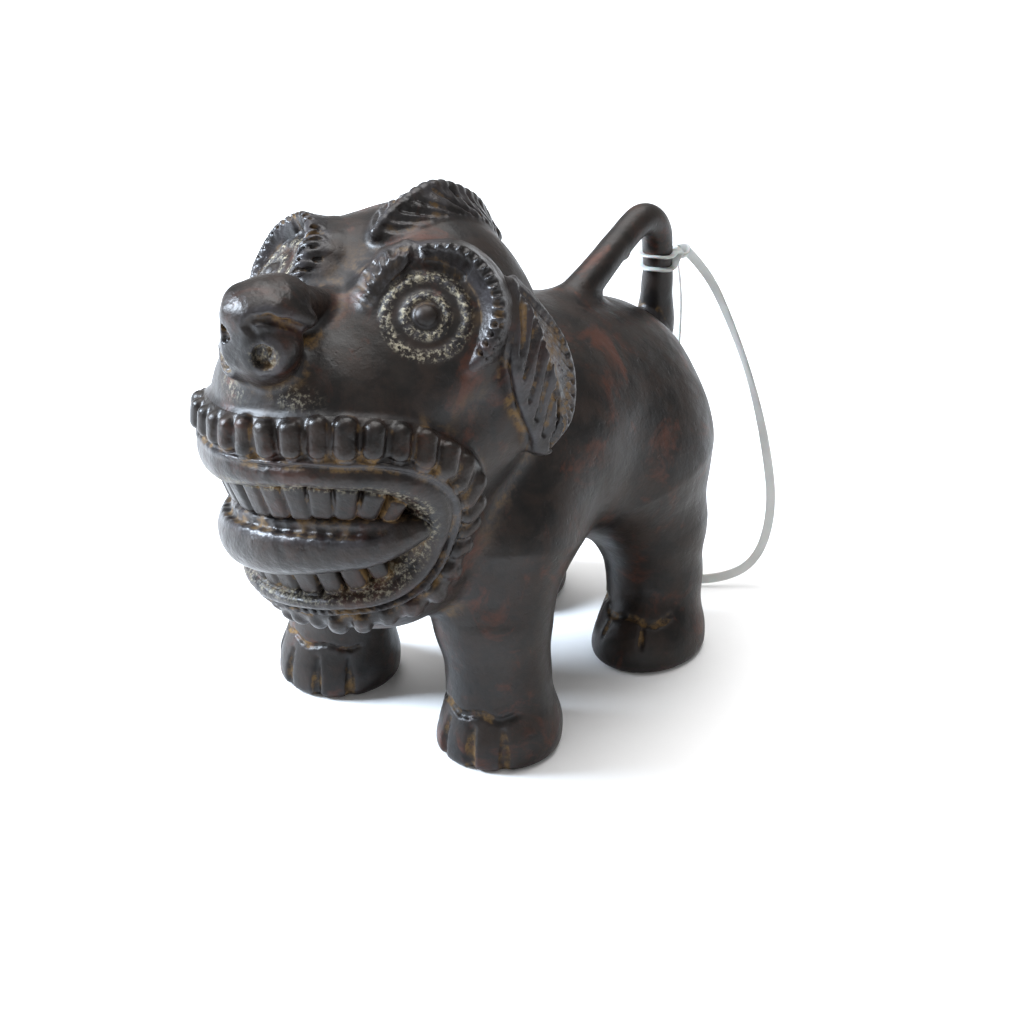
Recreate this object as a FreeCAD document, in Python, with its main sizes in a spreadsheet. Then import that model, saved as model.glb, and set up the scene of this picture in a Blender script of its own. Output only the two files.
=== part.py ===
"""Small bronze foo dog: a squat, wide-mouthed guardian lion with a looped tail and a tag string.

Millimetres. +Z is up, the dog faces -Y and its left side is +X. The origin is at the bottom
centre of the bronze, on the ground between its four feet.

The bronze is one casting. Its pieces are the ones that its maker built up in wax: a trunk, a
head, four legs with paws, a rolled tail, and the applied nose, crest, brows, eyes, ear locks,
lips, fringe, teeth and tongue. Each piece is cut where it meets the one that it was laid on.
"""
import FreeCAD
import Part

import math
import os
import re

Vector = FreeCAD.Vector
Rotation = FreeCAD.Rotation

doc = FreeCAD.newDocument("FooDog")

# ---------------------------------------------------------------- driving dimensions
# alias, millimetres or degrees, what it is
SIZES = [
    ("chest_back", 4.2, "chest mass: centre behind the origin"),
    ("chest_high", 31.5, "chest mass: centre above the ground"),
    ("chest_wide", 17.5, "chest mass: half width"),
    ("chest_long", 19.0, "chest mass: half length"),
    ("chest_tall", 15.5, "chest mass: half height"),
    ("rump_back", 21.3, "rump mass: centre behind the origin"),
    ("rump_high", 27.5, "rump mass: centre above the ground"),
    ("rump_wide", 16.0, "rump mass: half width"),
    ("rump_long", 15.8, "rump mass: half length"),
    ("rump_tall", 13.5, "rump mass: half height"),

    ("skull_back", -7.2, "skull: centre"),
    ("skull_high", 47.5, "skull: centre above the ground"),
    ("skull_wide", 16.6, "skull: half width"),
    ("skull_long", 15.0, "skull: half length"),
    ("skull_tall", 15.5, "skull: half height"),
    ("jaw_back", -19.4, "jaws: centre"),
    ("jaw_high", 35.0, "jaws: centre above the ground"),
    ("jaw_wide", 16.6, "jaws: half width"),
    ("jaw_long", 15.8, "jaws: half length"),
    ("jaw_tall", 18.5, "jaws: half height"),
    ("muzzle_back", -23.8, "muzzle: centre"),
    ("muzzle_high", 49.0, "muzzle: centre above the ground"),
    ("muzzle_wide", 13.0, "muzzle: half width"),
    ("muzzle_long", 12.0, "muzzle: half length"),
    ("muzzle_tall", 10.0, "muzzle: half height"),

    ("mouth_back", -31.8, "centre of the mouth's outline, seen from the side"),
    ("mouth_high", 34.0, "centre of the mouth's outline above the ground"),
    ("mouth_through", 30.0, "half width of the outlines' prisms, wider than the head"),
    ("mouth_deep", 8.7, "mouth opening: reach back from its centre"),
    ("mouth_tall", 8.5, "mouth opening: half height"),
    ("mouth_recess", 3.2, "depth of the mouth's floor under the jaws' surface"),
    ("lip_width", 2.4, "width of the smooth lip band"),
    ("lip_proud", 1.4, "how far the lip stands off the jaws"),
    ("fringe_back", 15.8, "fringe: inner reach back from the mouth's centre"),
    ("fringe_tall", 10.9, "fringe: inner half height"),
    ("fringe_width", 4.4, "width of the notched fringe"),
    ("fringe_proud", 1.1, "how far the fringe stands off the jaws"),

    ("tongue_back", -23.6, "tongue: centre"),
    ("tongue_high", 33.6, "tongue: centre above the ground"),
    ("tongue_wide", 14.4, "tongue: half width"),
    ("tongue_long", 13.2, "tongue: half length"),
    ("tongue_tall", 3.9, "tongue: half height"),
    ("tooth_wide", 2.7, "width of a front tooth"),
    ("tooth_tall", 3.0, "height of a front tooth"),
    ("tooth_deep", 2.6, "depth of a tooth"),
    ("tooth_inset", 1.0, "how far the teeth's faces lie inside the jaws' surface"),
    ("tooth_edge", 0.5, "rounding of a tooth's edges"),
    ("tooth_taper", 0.35, "how much smaller a tooth is at the side of the jaw, as a share"),
    ("tooth_step", 12.5, "angle from one tooth to the next round the jaw, degrees"),
    ("upper_row", 39.6, "height of the upper teeth's middle"),
    ("lower_row", 28.1, "height of the lower teeth's middle"),

    ("nose_back", -30.6, "nose: centre"),
    ("nose_high", 56.8, "nose: centre above the ground"),
    ("nose_wide", 6.3, "nose: half width"),
    ("nose_long", 6.4, "nose: half length"),
    ("nose_tall", 4.6, "nose: half height"),
    ("nostril_side", 3.2, "nostril lobes: distance from the middle"),
    ("nostril_back", -33.6, "nostril lobes: centre"),
    ("nostril_high", 54.8, "nostril lobes: height"),
    ("nostril_lobe", 3.5, "nostril lobes: radius"),
    ("bridge_back", -24.6, "bridge of the nose: centre"),
    ("bridge_high", 58.0, "bridge of the nose: height"),
    ("bridge_wide", 3.8, "bridge of the nose: half width"),
    ("bridge_long", 8.6, "bridge of the nose: half length"),
    ("bridge_tall", 3.8, "bridge of the nose: half height"),

    ("crest_wide", 3.4, "crest: half width at its foot"),
    ("crest_proud", 2.4, "how far the crest stands off the skull"),
    ("crest_front", -16.4, "crest: front end"),
    ("crest_rear", 3.4, "crest: rear end"),

    ("eye_side", 10.4, "eye: distance from the middle"),
    ("eye_back", -18.2, "eye: centre"),
    ("eye_high", 56.2, "eye: height"),
    ("eye_turn", 40.0, "eye: how far it looks outwards from straight ahead, degrees"),
    ("eye_lift", 38.0, "eye: how far it looks upwards, degrees"),
    ("eyeball_size", 3.1, "eyeball: radius"),
    ("rim_size", 4.3, "eye rim: radius of its middle line"),
    ("rim_thick", 1.0, "eye rim: radius of its section"),
    ("brow_size", 7.3, "brow: radius of its middle line"),
    ("brow_thick", 1.7, "brow: radius of its section"),
    ("brow_from", -75.0, "brow: where its arc starts, degrees"),
    ("brow_sweep", 245.0, "brow: length of its arc, degrees"),

    ("lock_side", 17.2, "ear lock: centre, distance from the middle"),
    ("lock_back", -7.2, "ear lock: centre"),
    ("lock_high", 49.0, "ear lock: height"),
    ("lock_thick", 2.9, "ear lock: half thickness"),
    ("lock_long", 4.6, "ear lock: half width along the dog"),
    ("lock_tall", 11.0, "ear lock: half height"),
    ("lock_lean", 9.0, "ear lock: lean outwards from the top, degrees"),

    ("front_side", 12.8, "front feet: distance from the middle"),
    ("front_back", -8.6, "front feet: centre"),
    ("front_round", 6.7, "front paws: half width"),
    ("hind_side", 11.0, "hind feet: distance from the middle"),
    ("hind_back", 21.8, "hind feet: centre"),
    ("hind_round", 6.2, "hind paws: half width"),
    ("paw_centre", 1.6, "height of a paw's widest level"),
    ("paw_tall", 7.2, "height of a paw above its widest level"),
    ("paw_long", 1.08, "length of a paw over its width"),
    ("toe_round", 2.3, "toes: radius"),
    ("toe_tall", 4.6, "toes: height above the paw's widest level"),
    ("toe_spread", 26.0, "angle from one toe to the next, degrees"),
    ("leg_foot", 3.0, "height of a leg's lower end, inside its paw"),
    ("leg_waist", 9.0, "height of a leg's narrowest level"),
    ("leg_knee", 17.0, "height of a leg's upper level, below the trunk"),
    ("leg_root", 26.0, "height of a leg's upper end, inside the trunk"),
    ("leg_slim", 5.3, "radius of a leg at its waist"),
    ("leg_full", 7.0, "radius of a leg at its knee"),
    ("leg_wide", 9.2, "radius of a leg at its upper end"),
    ("leg_inset", 2.6, "how far a leg's upper end leans towards the middle"),
    ("front_lean", 3.2, "how far a front leg's upper end leans back"),
    ("hind_lean", -1.6, "how far a hind leg's upper end leans back"),

    ("tail_thick", 1.5, "tail: radius"),
    ("tail_rear", 35.4, "tail: rising limb's distance behind the origin"),
    ("tail_root", 30.0, "tail: height of its root, inside the rump"),
    ("tail_lean", 0.7, "tail: how far forward the rising limb's two ends stand"),
    ("crown_start", 47.1, "tail: height where the rising limb turns into the crown"),
    ("crown_back", 32.4, "tail: crown's distance behind the origin"),
    ("crown_high", 48.9, "tail: height of the crown's middle line"),
    ("crown_front", 27.4, "tail: front end of the crown"),
    ("crown_end", 46.9, "tail: height of the crown's front end"),
    ("tail_foot", 44.0, "tail: height where it comes down on the back"),
    ("tail_down", 19.6, "tail: distance behind the origin where it comes down"),
    ("tail_tip", 12.6, "tail: its end, laid along the back"),
    ("tail_end", 42.4, "tail: height of its end, sunk in the back"),

    ("string_thick", 1.2, "tag string: its width, taken as a round section"),
    ("wrap_gap", 1.5, "distance between the string's two turns round the tail"),
    ("wrap_high", 41.8, "height of the lower turn"),
    ("knot_size", 1.35, "radius of the knot"),
    ("knot_side", 1.0, "knot: distance from the middle"),
    ("knot_back", 38.4, "knot: distance behind the origin"),
    ("knot_high", 42.6, "knot: height"),
]

sheet = doc.addObject("Spreadsheet::Sheet", "Sizes")
for row, (alias, value, meaning) in enumerate(SIZES, start=1):
    sheet.set("A%d" % row, meaning)
    sheet.set("B%d" % row, str(value))
    sheet.setAlias("B%d" % row, alias)
doc.recompute()

ALIASES = [alias for alias, value, meaning in SIZES]


def size(alias):
    """The number in the sheet's cell."""
    return float(sheet.get(alias))


def bind(item, links):
    """Binds properties to expressions written with the sheet's aliases."""
    for name, text in links.items():
        item.setExpression(name, re.sub(r"[a-z]+_[a-z]+", lambda word: "Sizes." + word.group(0), text))
    return item


def place(item, side, back, high):
    """Binds the position of an item."""
    return bind(item, {"Placement.Base.x": side, "Placement.Base.y": back, "Placement.Base.z": high})


# ---------------------------------------------------------------- building blocks
def ellipsoid(name, centre, radii):
    """A mass with its centre and its half width, half length and half height."""
    item = doc.addObject("Part::Ellipsoid", name)
    item.Angle1 = -90
    item.Angle2 = 90
    bind(item, {"Radius2": radii[0], "Radius3": radii[1], "Radius1": radii[2]})
    return place(item, *centre)


def fuse(name, *items):
    item = doc.addObject("Part::MultiFuse", name)
    item.Shapes = list(items)
    return item


def cut(name, base, tool):
    item = doc.addObject("Part::Cut", name)
    item.Base = base
    item.Tool = tool
    return item


def common(name, base, tool):
    item = doc.addObject("Part::Common", name)
    item.Base = base
    item.Tool = tool
    return item


def mirrored(name, source):
    """The same piece on the dog's right side."""
    item = doc.addObject("Part::Mirroring", name)
    item.Source = source
    item.Base = Vector(0, 0, 0)
    item.Normal = Vector(1, 0, 0)
    return item


def disc(name, radius, centre):
    """A level circle, a section of a leg."""
    item = doc.addObject("Part::Circle", name)
    bind(item, {"Radius": radius})
    return place(item, *centre)


def mouth_prism(name, half_length, half_height):
    """An elliptical prism through both cheeks, centred on the mouth's outline."""
    outline = doc.addObject("Part::Ellipse", name + "_outline")
    bind(outline, {"MajorRadius": half_length, "MinorRadius": half_height})
    outline.Placement.Rotation = Rotation(Vector(0, 1, 0), Vector(0, 0, 1), Vector(1, 0, 0))
    place(outline, "0", "mouth_back", "mouth_high")
    item = doc.addObject("Part::Extrusion", name)
    item.Base = outline
    item.DirMode = "Custom"
    item.Dir = Vector(1, 0, 0)
    item.Solid = True
    bind(item, {"LengthFwd": "mouth_through", "LengthRev": "mouth_through"})
    return item


def jaw_shell(name, growth):
    """The jaws' mass grown on all sides."""
    radii = ("jaw_wide + " + growth, "jaw_long + " + growth, "jaw_tall + " + growth)
    return ellipsoid(name, ("0", "jaw_back", "jaw_high"), radii)


# ---------------------------------------------------------------- head
def make_head():
    """Skull, jaws and muzzle in one, with the mouth sunk into the jaws."""
    masses = fuse(
        "head_masses",
        ellipsoid("skull_mass", ("0", "skull_back", "skull_high"), ("skull_wide", "skull_long", "skull_tall")),
        ellipsoid("jaw_mass", ("0", "jaw_back", "jaw_high"), ("jaw_wide", "jaw_long", "jaw_tall")),
        ellipsoid("muzzle_mass", ("0", "muzzle_back", "muzzle_high"),
                  ("muzzle_wide", "muzzle_long", "muzzle_tall")),
    )
    opening = mouth_prism("mouth_opening", "mouth_deep", "mouth_tall")
    mouth = cut("mouth_space", opening, jaw_shell("mouth_floor", "-mouth_recess"))
    return masses, cut("head", masses, mouth)


def make_band(name, inner, width, proud, bed):
    """A band round the mouth that stands off the jaws and is laid on the head."""
    length, height = inner
    wide = mouth_prism(name + "_outer", length + " + " + width, height + " + " + width)
    narrow = mouth_prism(name + "_inner", length, height)
    ring = cut(name + "_ring", wide, narrow)
    return cut(name, common(name + "_band", ring, jaw_shell(name + "_skin", " + " + proud)), bed)


def make_teeth(name, row, count, bed):
    """A row of separate teeth along the jaws, from cheek to cheek, standing in the mouth."""
    drop = (size(row) - size("jaw_high")) / size("jaw_tall")
    girth = math.sqrt(1 - drop * drop)
    teeth = []
    for index in range(count):
        turn = (index - (count - 1) / 2) * size("tooth_step")
        side = math.sin(math.radians(turn)) * (size("jaw_wide") * girth - size("tooth_inset"))
        front = -math.cos(math.radians(turn)) * (size("jaw_long") * girth - size("tooth_inset"))
        shrink = 1 - size("tooth_taper") * (turn / 90) ** 2
        wide = size("tooth_wide") * shrink
        tall = size("tooth_tall") * shrink
        tooth = Part.makeBox(wide, size("tooth_deep"), tall, Vector(-wide / 2, 0, -tall / 2))
        tooth = tooth.makeFillet(size("tooth_edge"), tooth.Edges)
        seat = Vector(side, size("jaw_back") + front, size(row))
        tooth.Placement = FreeCAD.Placement(seat, Rotation(Vector(0, 0, 1), turn))
        teeth.append(tooth)
    item = doc.addObject("Part::Feature", name + "_blanks")
    item.Shape = Part.makeCompound(teeth)
    return cut(name, item, bed)


def make_tongue(bed):
    """A broad smooth roll that fills the mouth from side to side."""
    roll = ellipsoid("tongue_roll", ("0", "tongue_back", "tongue_high"),
                     ("tongue_wide", "tongue_long", "tongue_tall"))
    return cut("tongue", roll, bed)


def make_nose(bed):
    """A broad nose with a bridge and two nostril lobes."""
    masses = [
        ellipsoid("nose_mass", ("0", "nose_back", "nose_high"), ("nose_wide", "nose_long", "nose_tall")),
        ellipsoid("nose_bridge", ("0", "bridge_back", "bridge_high"),
                  ("bridge_wide", "bridge_long", "bridge_tall")),
    ]
    lobe = ("nostril_lobe", "nostril_lobe", "nostril_lobe")
    for side in ("left", "right"):
        offset = "nostril_side" if side == "left" else "-nostril_side"
        masses.append(ellipsoid(side + "_nostril_lobe", (offset, "nostril_back", "nostril_high"), lobe))
    return cut("nose", fuse("nose_masses", *masses), bed)


def make_crest(bed):
    """A leaf-shaped ridge along the top of the skull."""
    radii = ("skull_wide + crest_proud", "skull_long + crest_proud", "skull_tall + crest_proud")
    skin = ellipsoid("crest_skin", ("0", "skull_back", "skull_high"), radii)
    leaf = ellipsoid("crest_leaf", ("0", "(crest_front + crest_rear) / 2", "skull_high + skull_tall"),
                     ("crest_wide", "(crest_rear - crest_front) / 2", "skull_tall"))
    return cut("crest", common("crest_band", skin, leaf), bed)


def look(item):
    """Turns an item's own Z to where the left eye looks: ahead, turned outwards and upwards."""
    turn = Rotation(Vector(0, 0, 1), size("eye_turn"))
    lift = Rotation(Vector(-1, 0, 0), size("eye_lift"))
    ahead = Rotation(Vector(1, 0, 0), 90)
    item.Placement.Rotation = turn.multiply(lift).multiply(ahead)
    return item


def eye_ring(name, radius, thick, start="0", sweep="360"):
    """A ring, or a part of one, round the left eye."""
    ring = doc.addObject("Part::Torus", name)
    bind(ring, {"Radius1": radius, "Radius2": thick, "Angle3": sweep})
    look(ring)
    ring.Placement.Rotation = ring.Placement.Rotation.multiply(Rotation(Vector(0, 0, 1), float(start)))
    return place(ring, "eye_side", "eye_back", "eye_high")


def make_eye(bed):
    """The left eye: a ball, the rim round it and the brow over both."""
    ball = doc.addObject("Part::Sphere", "eye_blank")
    bind(ball, {"Radius": "eyeball_size"})
    place(ball, "eye_side", "eye_back", "eye_high")
    rim = eye_ring("rim_blank", "rim_size", "rim_thick")
    brow = eye_ring("brow_blank", "brow_size", "brow_thick", size("brow_from"), "brow_sweep")
    on_nose = fuse("brow_bed", bed, nose_masses)
    rim_piece = cut("left_eye_rim", rim, fuse("rim_bed", bed, ball, nose_masses))
    return cut("left_eyeball", ball, bed), rim_piece, cut("left_brow", brow, on_nose)


def make_lock(bed):
    """The left ear lock: a leaf that hangs behind the cheek."""
    leaf = ellipsoid("lock_blank", ("lock_side", "lock_back", "lock_high"),
                     ("lock_thick", "lock_long", "lock_tall"))
    leaf.Placement.Rotation = Rotation(Vector(0, -1, 0), size("lock_lean"))
    place(leaf, "lock_side", "lock_back", "lock_high")
    return cut("left_ear_lock", leaf, bed)


# ---------------------------------------------------------------- trunk and legs
def make_trunk(bed):
    """Chest and rump in one, closed against the back of the head."""
    masses = fuse(
        "trunk_masses",
        ellipsoid("chest_mass", ("0", "chest_back", "chest_high"), ("chest_wide", "chest_long", "chest_tall")),
        ellipsoid("rump_mass", ("0", "rump_back", "rump_high"), ("rump_wide", "rump_long", "rump_tall")),
    )
    return cut("trunk", masses, bed)


def make_paw(end):
    """A left paw with four toes, flat where it stands."""
    side, back, wide = end + "_side", end + "_back", end + "_round"
    lumps = [ellipsoid(end + "_pad", (side, back, "paw_centre"), (wide, wide + " * paw_long", "paw_tall"))]
    for index in range(4):
        angle = (index - 1.5) * size("toe_spread")
        reach = "(%s * paw_long - toe_round * 0.7)" % wide
        toe_side = "%s + sin(%g) * %s" % (side, angle, reach)
        toe_back = "%s - cos(%g) * %s" % (back, angle, reach)
        radii = ("toe_round", "toe_round", "toe_tall")
        lumps.append(ellipsoid("%s_toe_%d" % (end, index + 1), (toe_side, toe_back, "paw_centre"), radii))
    ground = doc.addObject("Part::Box", end + "_ground")
    bind(ground, {"Length": "6 * " + wide, "Width": "6 * " + wide, "Height": "2 * paw_tall"})
    place(ground, side + " - 3 * " + wide, back + " - 3 * " + wide, "-2 * paw_tall")
    return cut("%s_left_paw" % end, fuse(end + "_paw_lumps", *lumps), ground)


# A leg's levels: height, radius, and how much of its lean it has reached there.
LEG_LEVELS = [
    ("leg_foot", "leg_slim", 0),
    ("leg_waist", "leg_slim", 0.1),
    ("leg_knee", "leg_full", 0.5),
    ("leg_root", "leg_wide", 1),
]


def make_leg(end, paw, beds):
    """A left leg from inside its paw up to the trunk, slimmest just over the paw."""
    side, back, lean = end + "_side", end + "_back", end + "_lean"
    sections = []
    for level, radius, share in LEG_LEVELS:
        centre = ("%s - %g * leg_inset" % (side, share), "%s + %g * %s" % (back, share, lean), level)
        sections.append(disc("%s_%s" % (end, level), radius, centre))
    loft = doc.addObject("Part::Loft", end + "_leg_blank")
    loft.Sections = sections
    loft.Solid = True
    return cut("%s_left_leg" % end, loft, fuse(end + "_leg_bed", paw, *beds))


# ---------------------------------------------------------------- tail and string
# How much of the shorter run beside a corner its arc takes up.
TAIL_ARC_SHARE = 0.48
STRING_ARC_SHARE = 0.45


def rounded_route(points, share):
    """Straight runs joined by tangent arcs, each as large as its share of the shorter run allows."""
    edges = []
    radii = []
    start = points[0]
    for before, corner, after in zip(points, points[1:], points[2:]):
        incoming = corner - before
        outgoing = after - corner
        half_turn = incoming.getAngle(outgoing) / 2
        setback = share * min(incoming.Length, outgoing.Length)
        radii.append(setback / math.tan(half_turn))
        ahead = Vector(incoming).normalize()
        onward = Vector(outgoing).normalize()
        first = corner - ahead * setback
        last = corner + onward * setback
        inward = (onward - ahead).normalize()
        sagitta = radii[-1] * (1 / math.cos(half_turn) - 1)
        edges.append(Part.LineSegment(start, first).toShape())
        edges.append(Part.Arc(first, corner + inward * sagitta, last).toShape())
        start = last
    edges.append(Part.LineSegment(start, points[-1]).toShape())
    return Part.Wire(edges), radii


def swept_rod(name, points, thick, share):
    """A round rod along a rounded route."""
    wire, radii = rounded_route(points, share)
    section = Part.Wire(Part.makeCircle(thick, points[0], points[1] - points[0]))
    item = doc.addObject("Part::Feature", name)
    item.Shape = wire.makePipeShell([section], True, False)
    expected = math.pi * thick ** 2 * wire.Length
    print("%s: length %.1f, volume over section x length %.3f, radii %s" % (
        name, wire.Length, item.Shape.Volume / expected, " ".join("%.1f" % radius for radius in radii)))
    return item


def make_tail(beds):
    """A rolled rod that rises from the rump, loops forward and comes down along the back."""
    limb = size("tail_rear")
    limb_ends = limb - size("tail_lean")
    route = [
        Vector(0, limb_ends, size("tail_root")),
        Vector(0, limb, size("wrap_high")),
        Vector(0, limb_ends, size("crown_start")),
        Vector(0, size("crown_back"), size("crown_high")),
        Vector(0, size("crown_front"), size("crown_end")),
        Vector(0, size("tail_down"), size("tail_foot")),
        Vector(0, size("tail_tip"), size("tail_end")),
    ]
    rod = swept_rod("tail_rod", route, size("tail_thick"), TAIL_ARC_SHARE)
    return cut("tail", rod, beds)


def make_hitch(bed):
    """Two turns of the string round the tail's rising limb, with the knot behind them."""
    rings = []
    for turn in range(2):
        ring = doc.addObject("Part::Torus", "wrap_%d" % (turn + 1))
        bind(ring, {"Radius1": "tail_thick + string_thick / 2", "Radius2": "string_thick / 2"})
        rings.append(place(ring, "0", "tail_rear", "wrap_high + %d * wrap_gap" % turn))
    knot = ellipsoid("knot", ("knot_side", "knot_back", "knot_high"), ("knot_size", "knot_size", "knot_size"))
    return cut("tag_string_hitch", fuse("hitch_turns", knot, *rings), bed)


# The string's route from the knot, down behind the left haunch to the ground, and back up to
# the knot behind the rump: distance to the left, behind the origin and above the ground.
STRING_ROUTE = [
    (1.8, 39.0, 42.6),
    (3.4, 41.0, 39.8),
    (6.0, 42.4, 33.6),
    (9.0, 43.2, 26.2),
    (11.6, 43.4, 17.6),
    (13.2, 43.2, 9.0),
    (12.8, 40.6, 2.4),
    (9.6, 35.8, 0.8),
    (3.8, 32.6, 0.9),
    (-2.4, 35.2, 0.8),
    (-4.9, 41.0, 1.2),
    (-5.4, 44.4, 8.2),
    (-4.4, 44.9, 19.4),
    (-2.8, 43.8, 31.2),
    (-1.2, 41.4, 38.6),
    (0.2, 39.1, 41.6),
]


def make_string(bed):
    """The tag string's loop: a tube that leaves the knot and comes back to it."""
    route = [Vector(*point) for point in STRING_ROUTE]
    tube = swept_rod("string_tube", route, size("string_thick") / 2, STRING_ARC_SHARE)
    return cut("tag_string", tube, bed)


# ---------------------------------------------------------------- the dog
head_masses, head = make_head()
nose = make_nose(head_masses)
nose_masses = doc.getObject("nose_masses")
trunk = make_trunk(head_masses)
trunk_masses = doc.getObject("trunk_masses")

lip_band = make_band("lip_band", ("mouth_deep", "mouth_tall"), "lip_width", "lip_proud",
                     fuse("lip_bed", head_masses, nose_masses))
fringe = make_band("mouth_fringe", ("fringe_back", "fringe_tall"), "fringe_width", "fringe_proud",
                   fuse("fringe_bed", head_masses, nose_masses, trunk_masses))
upper_teeth = make_teeth("upper_teeth", "upper_row", 13, head)
lower_teeth = make_teeth("lower_teeth", "lower_row", 13, head)
tongue = make_tongue(head)
crest = make_crest(fuse("crest_bed", head_masses, nose_masses))

left_eyeball, left_eye_rim, left_brow = make_eye(head_masses)
left_ear_lock = make_lock(fuse("lock_bed", head_masses, trunk_masses, doc.getObject("brow_blank"),
                               doc.getObject("mouth_fringe_band")))

left_side = [left_eyeball, left_eye_rim, left_brow, left_ear_lock]
for end in ("front", "hind"):
    paw = make_paw(end)
    beds = [trunk_masses, head_masses] if end == "front" else [trunk_masses]
    left_side += [paw, make_leg(end, paw, beds)]
right_side = [mirrored(piece.Name.replace("left", "right"), piece) for piece in left_side]

tail = make_tail(trunk_masses)
hitch = make_hitch(tail)
string = make_string(hitch)

SUB_PARTS = [trunk, head, nose, crest, lip_band, fringe, upper_teeth, lower_teeth, tongue, tail,
             hitch, string] + left_side + right_side

# ---------------------------------------------------------------- check and write
doc.recompute()
for item in doc.Objects:
    if {"Invalid", "Error"} & set(item.State):
        raise RuntimeError("%s could not be made" % item.Name)
for piece in SUB_PARTS:
    if piece.Shape.isNull() or not piece.Shape.isValid() or not piece.Shape.Solids:
        raise RuntimeError("%s has no valid solid" % piece.Name)

os.makedirs("parts", exist_ok=True)
for piece in SUB_PARTS:
    piece.Label = piece.Name
    piece.Shape.exportStep("parts/%s.step" % piece.Label)
    box = piece.Shape.BoundBox
    print("%-18s %2d solid(s) %8.1f mm3  x %5.1f %5.1f  y %5.1f %5.1f  z %5.1f %5.1f" % (
        piece.Label, len(piece.Shape.Solids), piece.Shape.Volume,
        box.XMin, box.XMax, box.YMin, box.YMax, box.ZMin, box.ZMax))
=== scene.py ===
"""The looks of the small bronze foo dog: cast and patinated bronze, sculpted as distance fields.

Every form is laid on in millimetres, in the CAD frame: +Z up, the dog faces -Y, +X is its left.
A Clay holds a signed distance field on one shared lattice, negative inside the metal, so pieces
can be laid on each other with soft joints and then meshed each on its own.
"""

import math

import bpy
import numpy as np
import openvdb
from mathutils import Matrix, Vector


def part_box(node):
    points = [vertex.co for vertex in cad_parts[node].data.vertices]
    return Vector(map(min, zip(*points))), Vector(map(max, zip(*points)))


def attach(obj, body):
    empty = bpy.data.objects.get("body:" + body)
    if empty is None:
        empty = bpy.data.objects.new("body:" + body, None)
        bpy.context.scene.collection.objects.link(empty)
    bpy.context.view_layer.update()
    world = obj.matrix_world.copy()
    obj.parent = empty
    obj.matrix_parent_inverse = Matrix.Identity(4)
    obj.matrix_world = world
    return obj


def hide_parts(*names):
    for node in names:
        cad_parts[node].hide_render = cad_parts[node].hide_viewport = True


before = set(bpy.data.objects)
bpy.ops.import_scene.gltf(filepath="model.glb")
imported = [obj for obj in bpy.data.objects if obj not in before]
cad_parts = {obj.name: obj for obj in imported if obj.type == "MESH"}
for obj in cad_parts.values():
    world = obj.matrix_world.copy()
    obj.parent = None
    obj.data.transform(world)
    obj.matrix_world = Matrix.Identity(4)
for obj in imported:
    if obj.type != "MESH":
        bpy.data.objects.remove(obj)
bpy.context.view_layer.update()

MM = 0.001
STEP = 0.25  # spacing of the lattice, in millimetres
FAR = 9.0  # distance held where no form reaches
MIRROR = np.array([-1.0, 1.0, 1.0])
SEED = 11
random = np.random.default_rng(SEED)


# ---- places from the frame
def corners(node):
    """Lowest and highest corner of a CAD node, in millimetres."""
    low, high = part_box(node)
    return np.array(low) / MM, np.array(high) / MM


def middle(node):
    """The middle of a CAD node's box, in millimetres."""
    low, high = corners(node)
    return (low + high) / 2


def unit(vector):
    """The same direction with a length of 1."""
    vector = np.asarray(vector, float)
    return vector / np.linalg.norm(vector)


CORD_NODES = ("tag_string", "tag_string_hitch")
BRONZE_NODES = [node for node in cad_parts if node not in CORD_NODES]
DOG_LOW = np.min([corners(node)[0] for node in BRONZE_NODES], axis=0)
DOG_HIGH = np.max([corners(node)[1] for node in BRONZE_NODES], axis=0)


# ---- clay
GROOVE_LIFT = 3.0
GROOVE_REACH = 7.0


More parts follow.
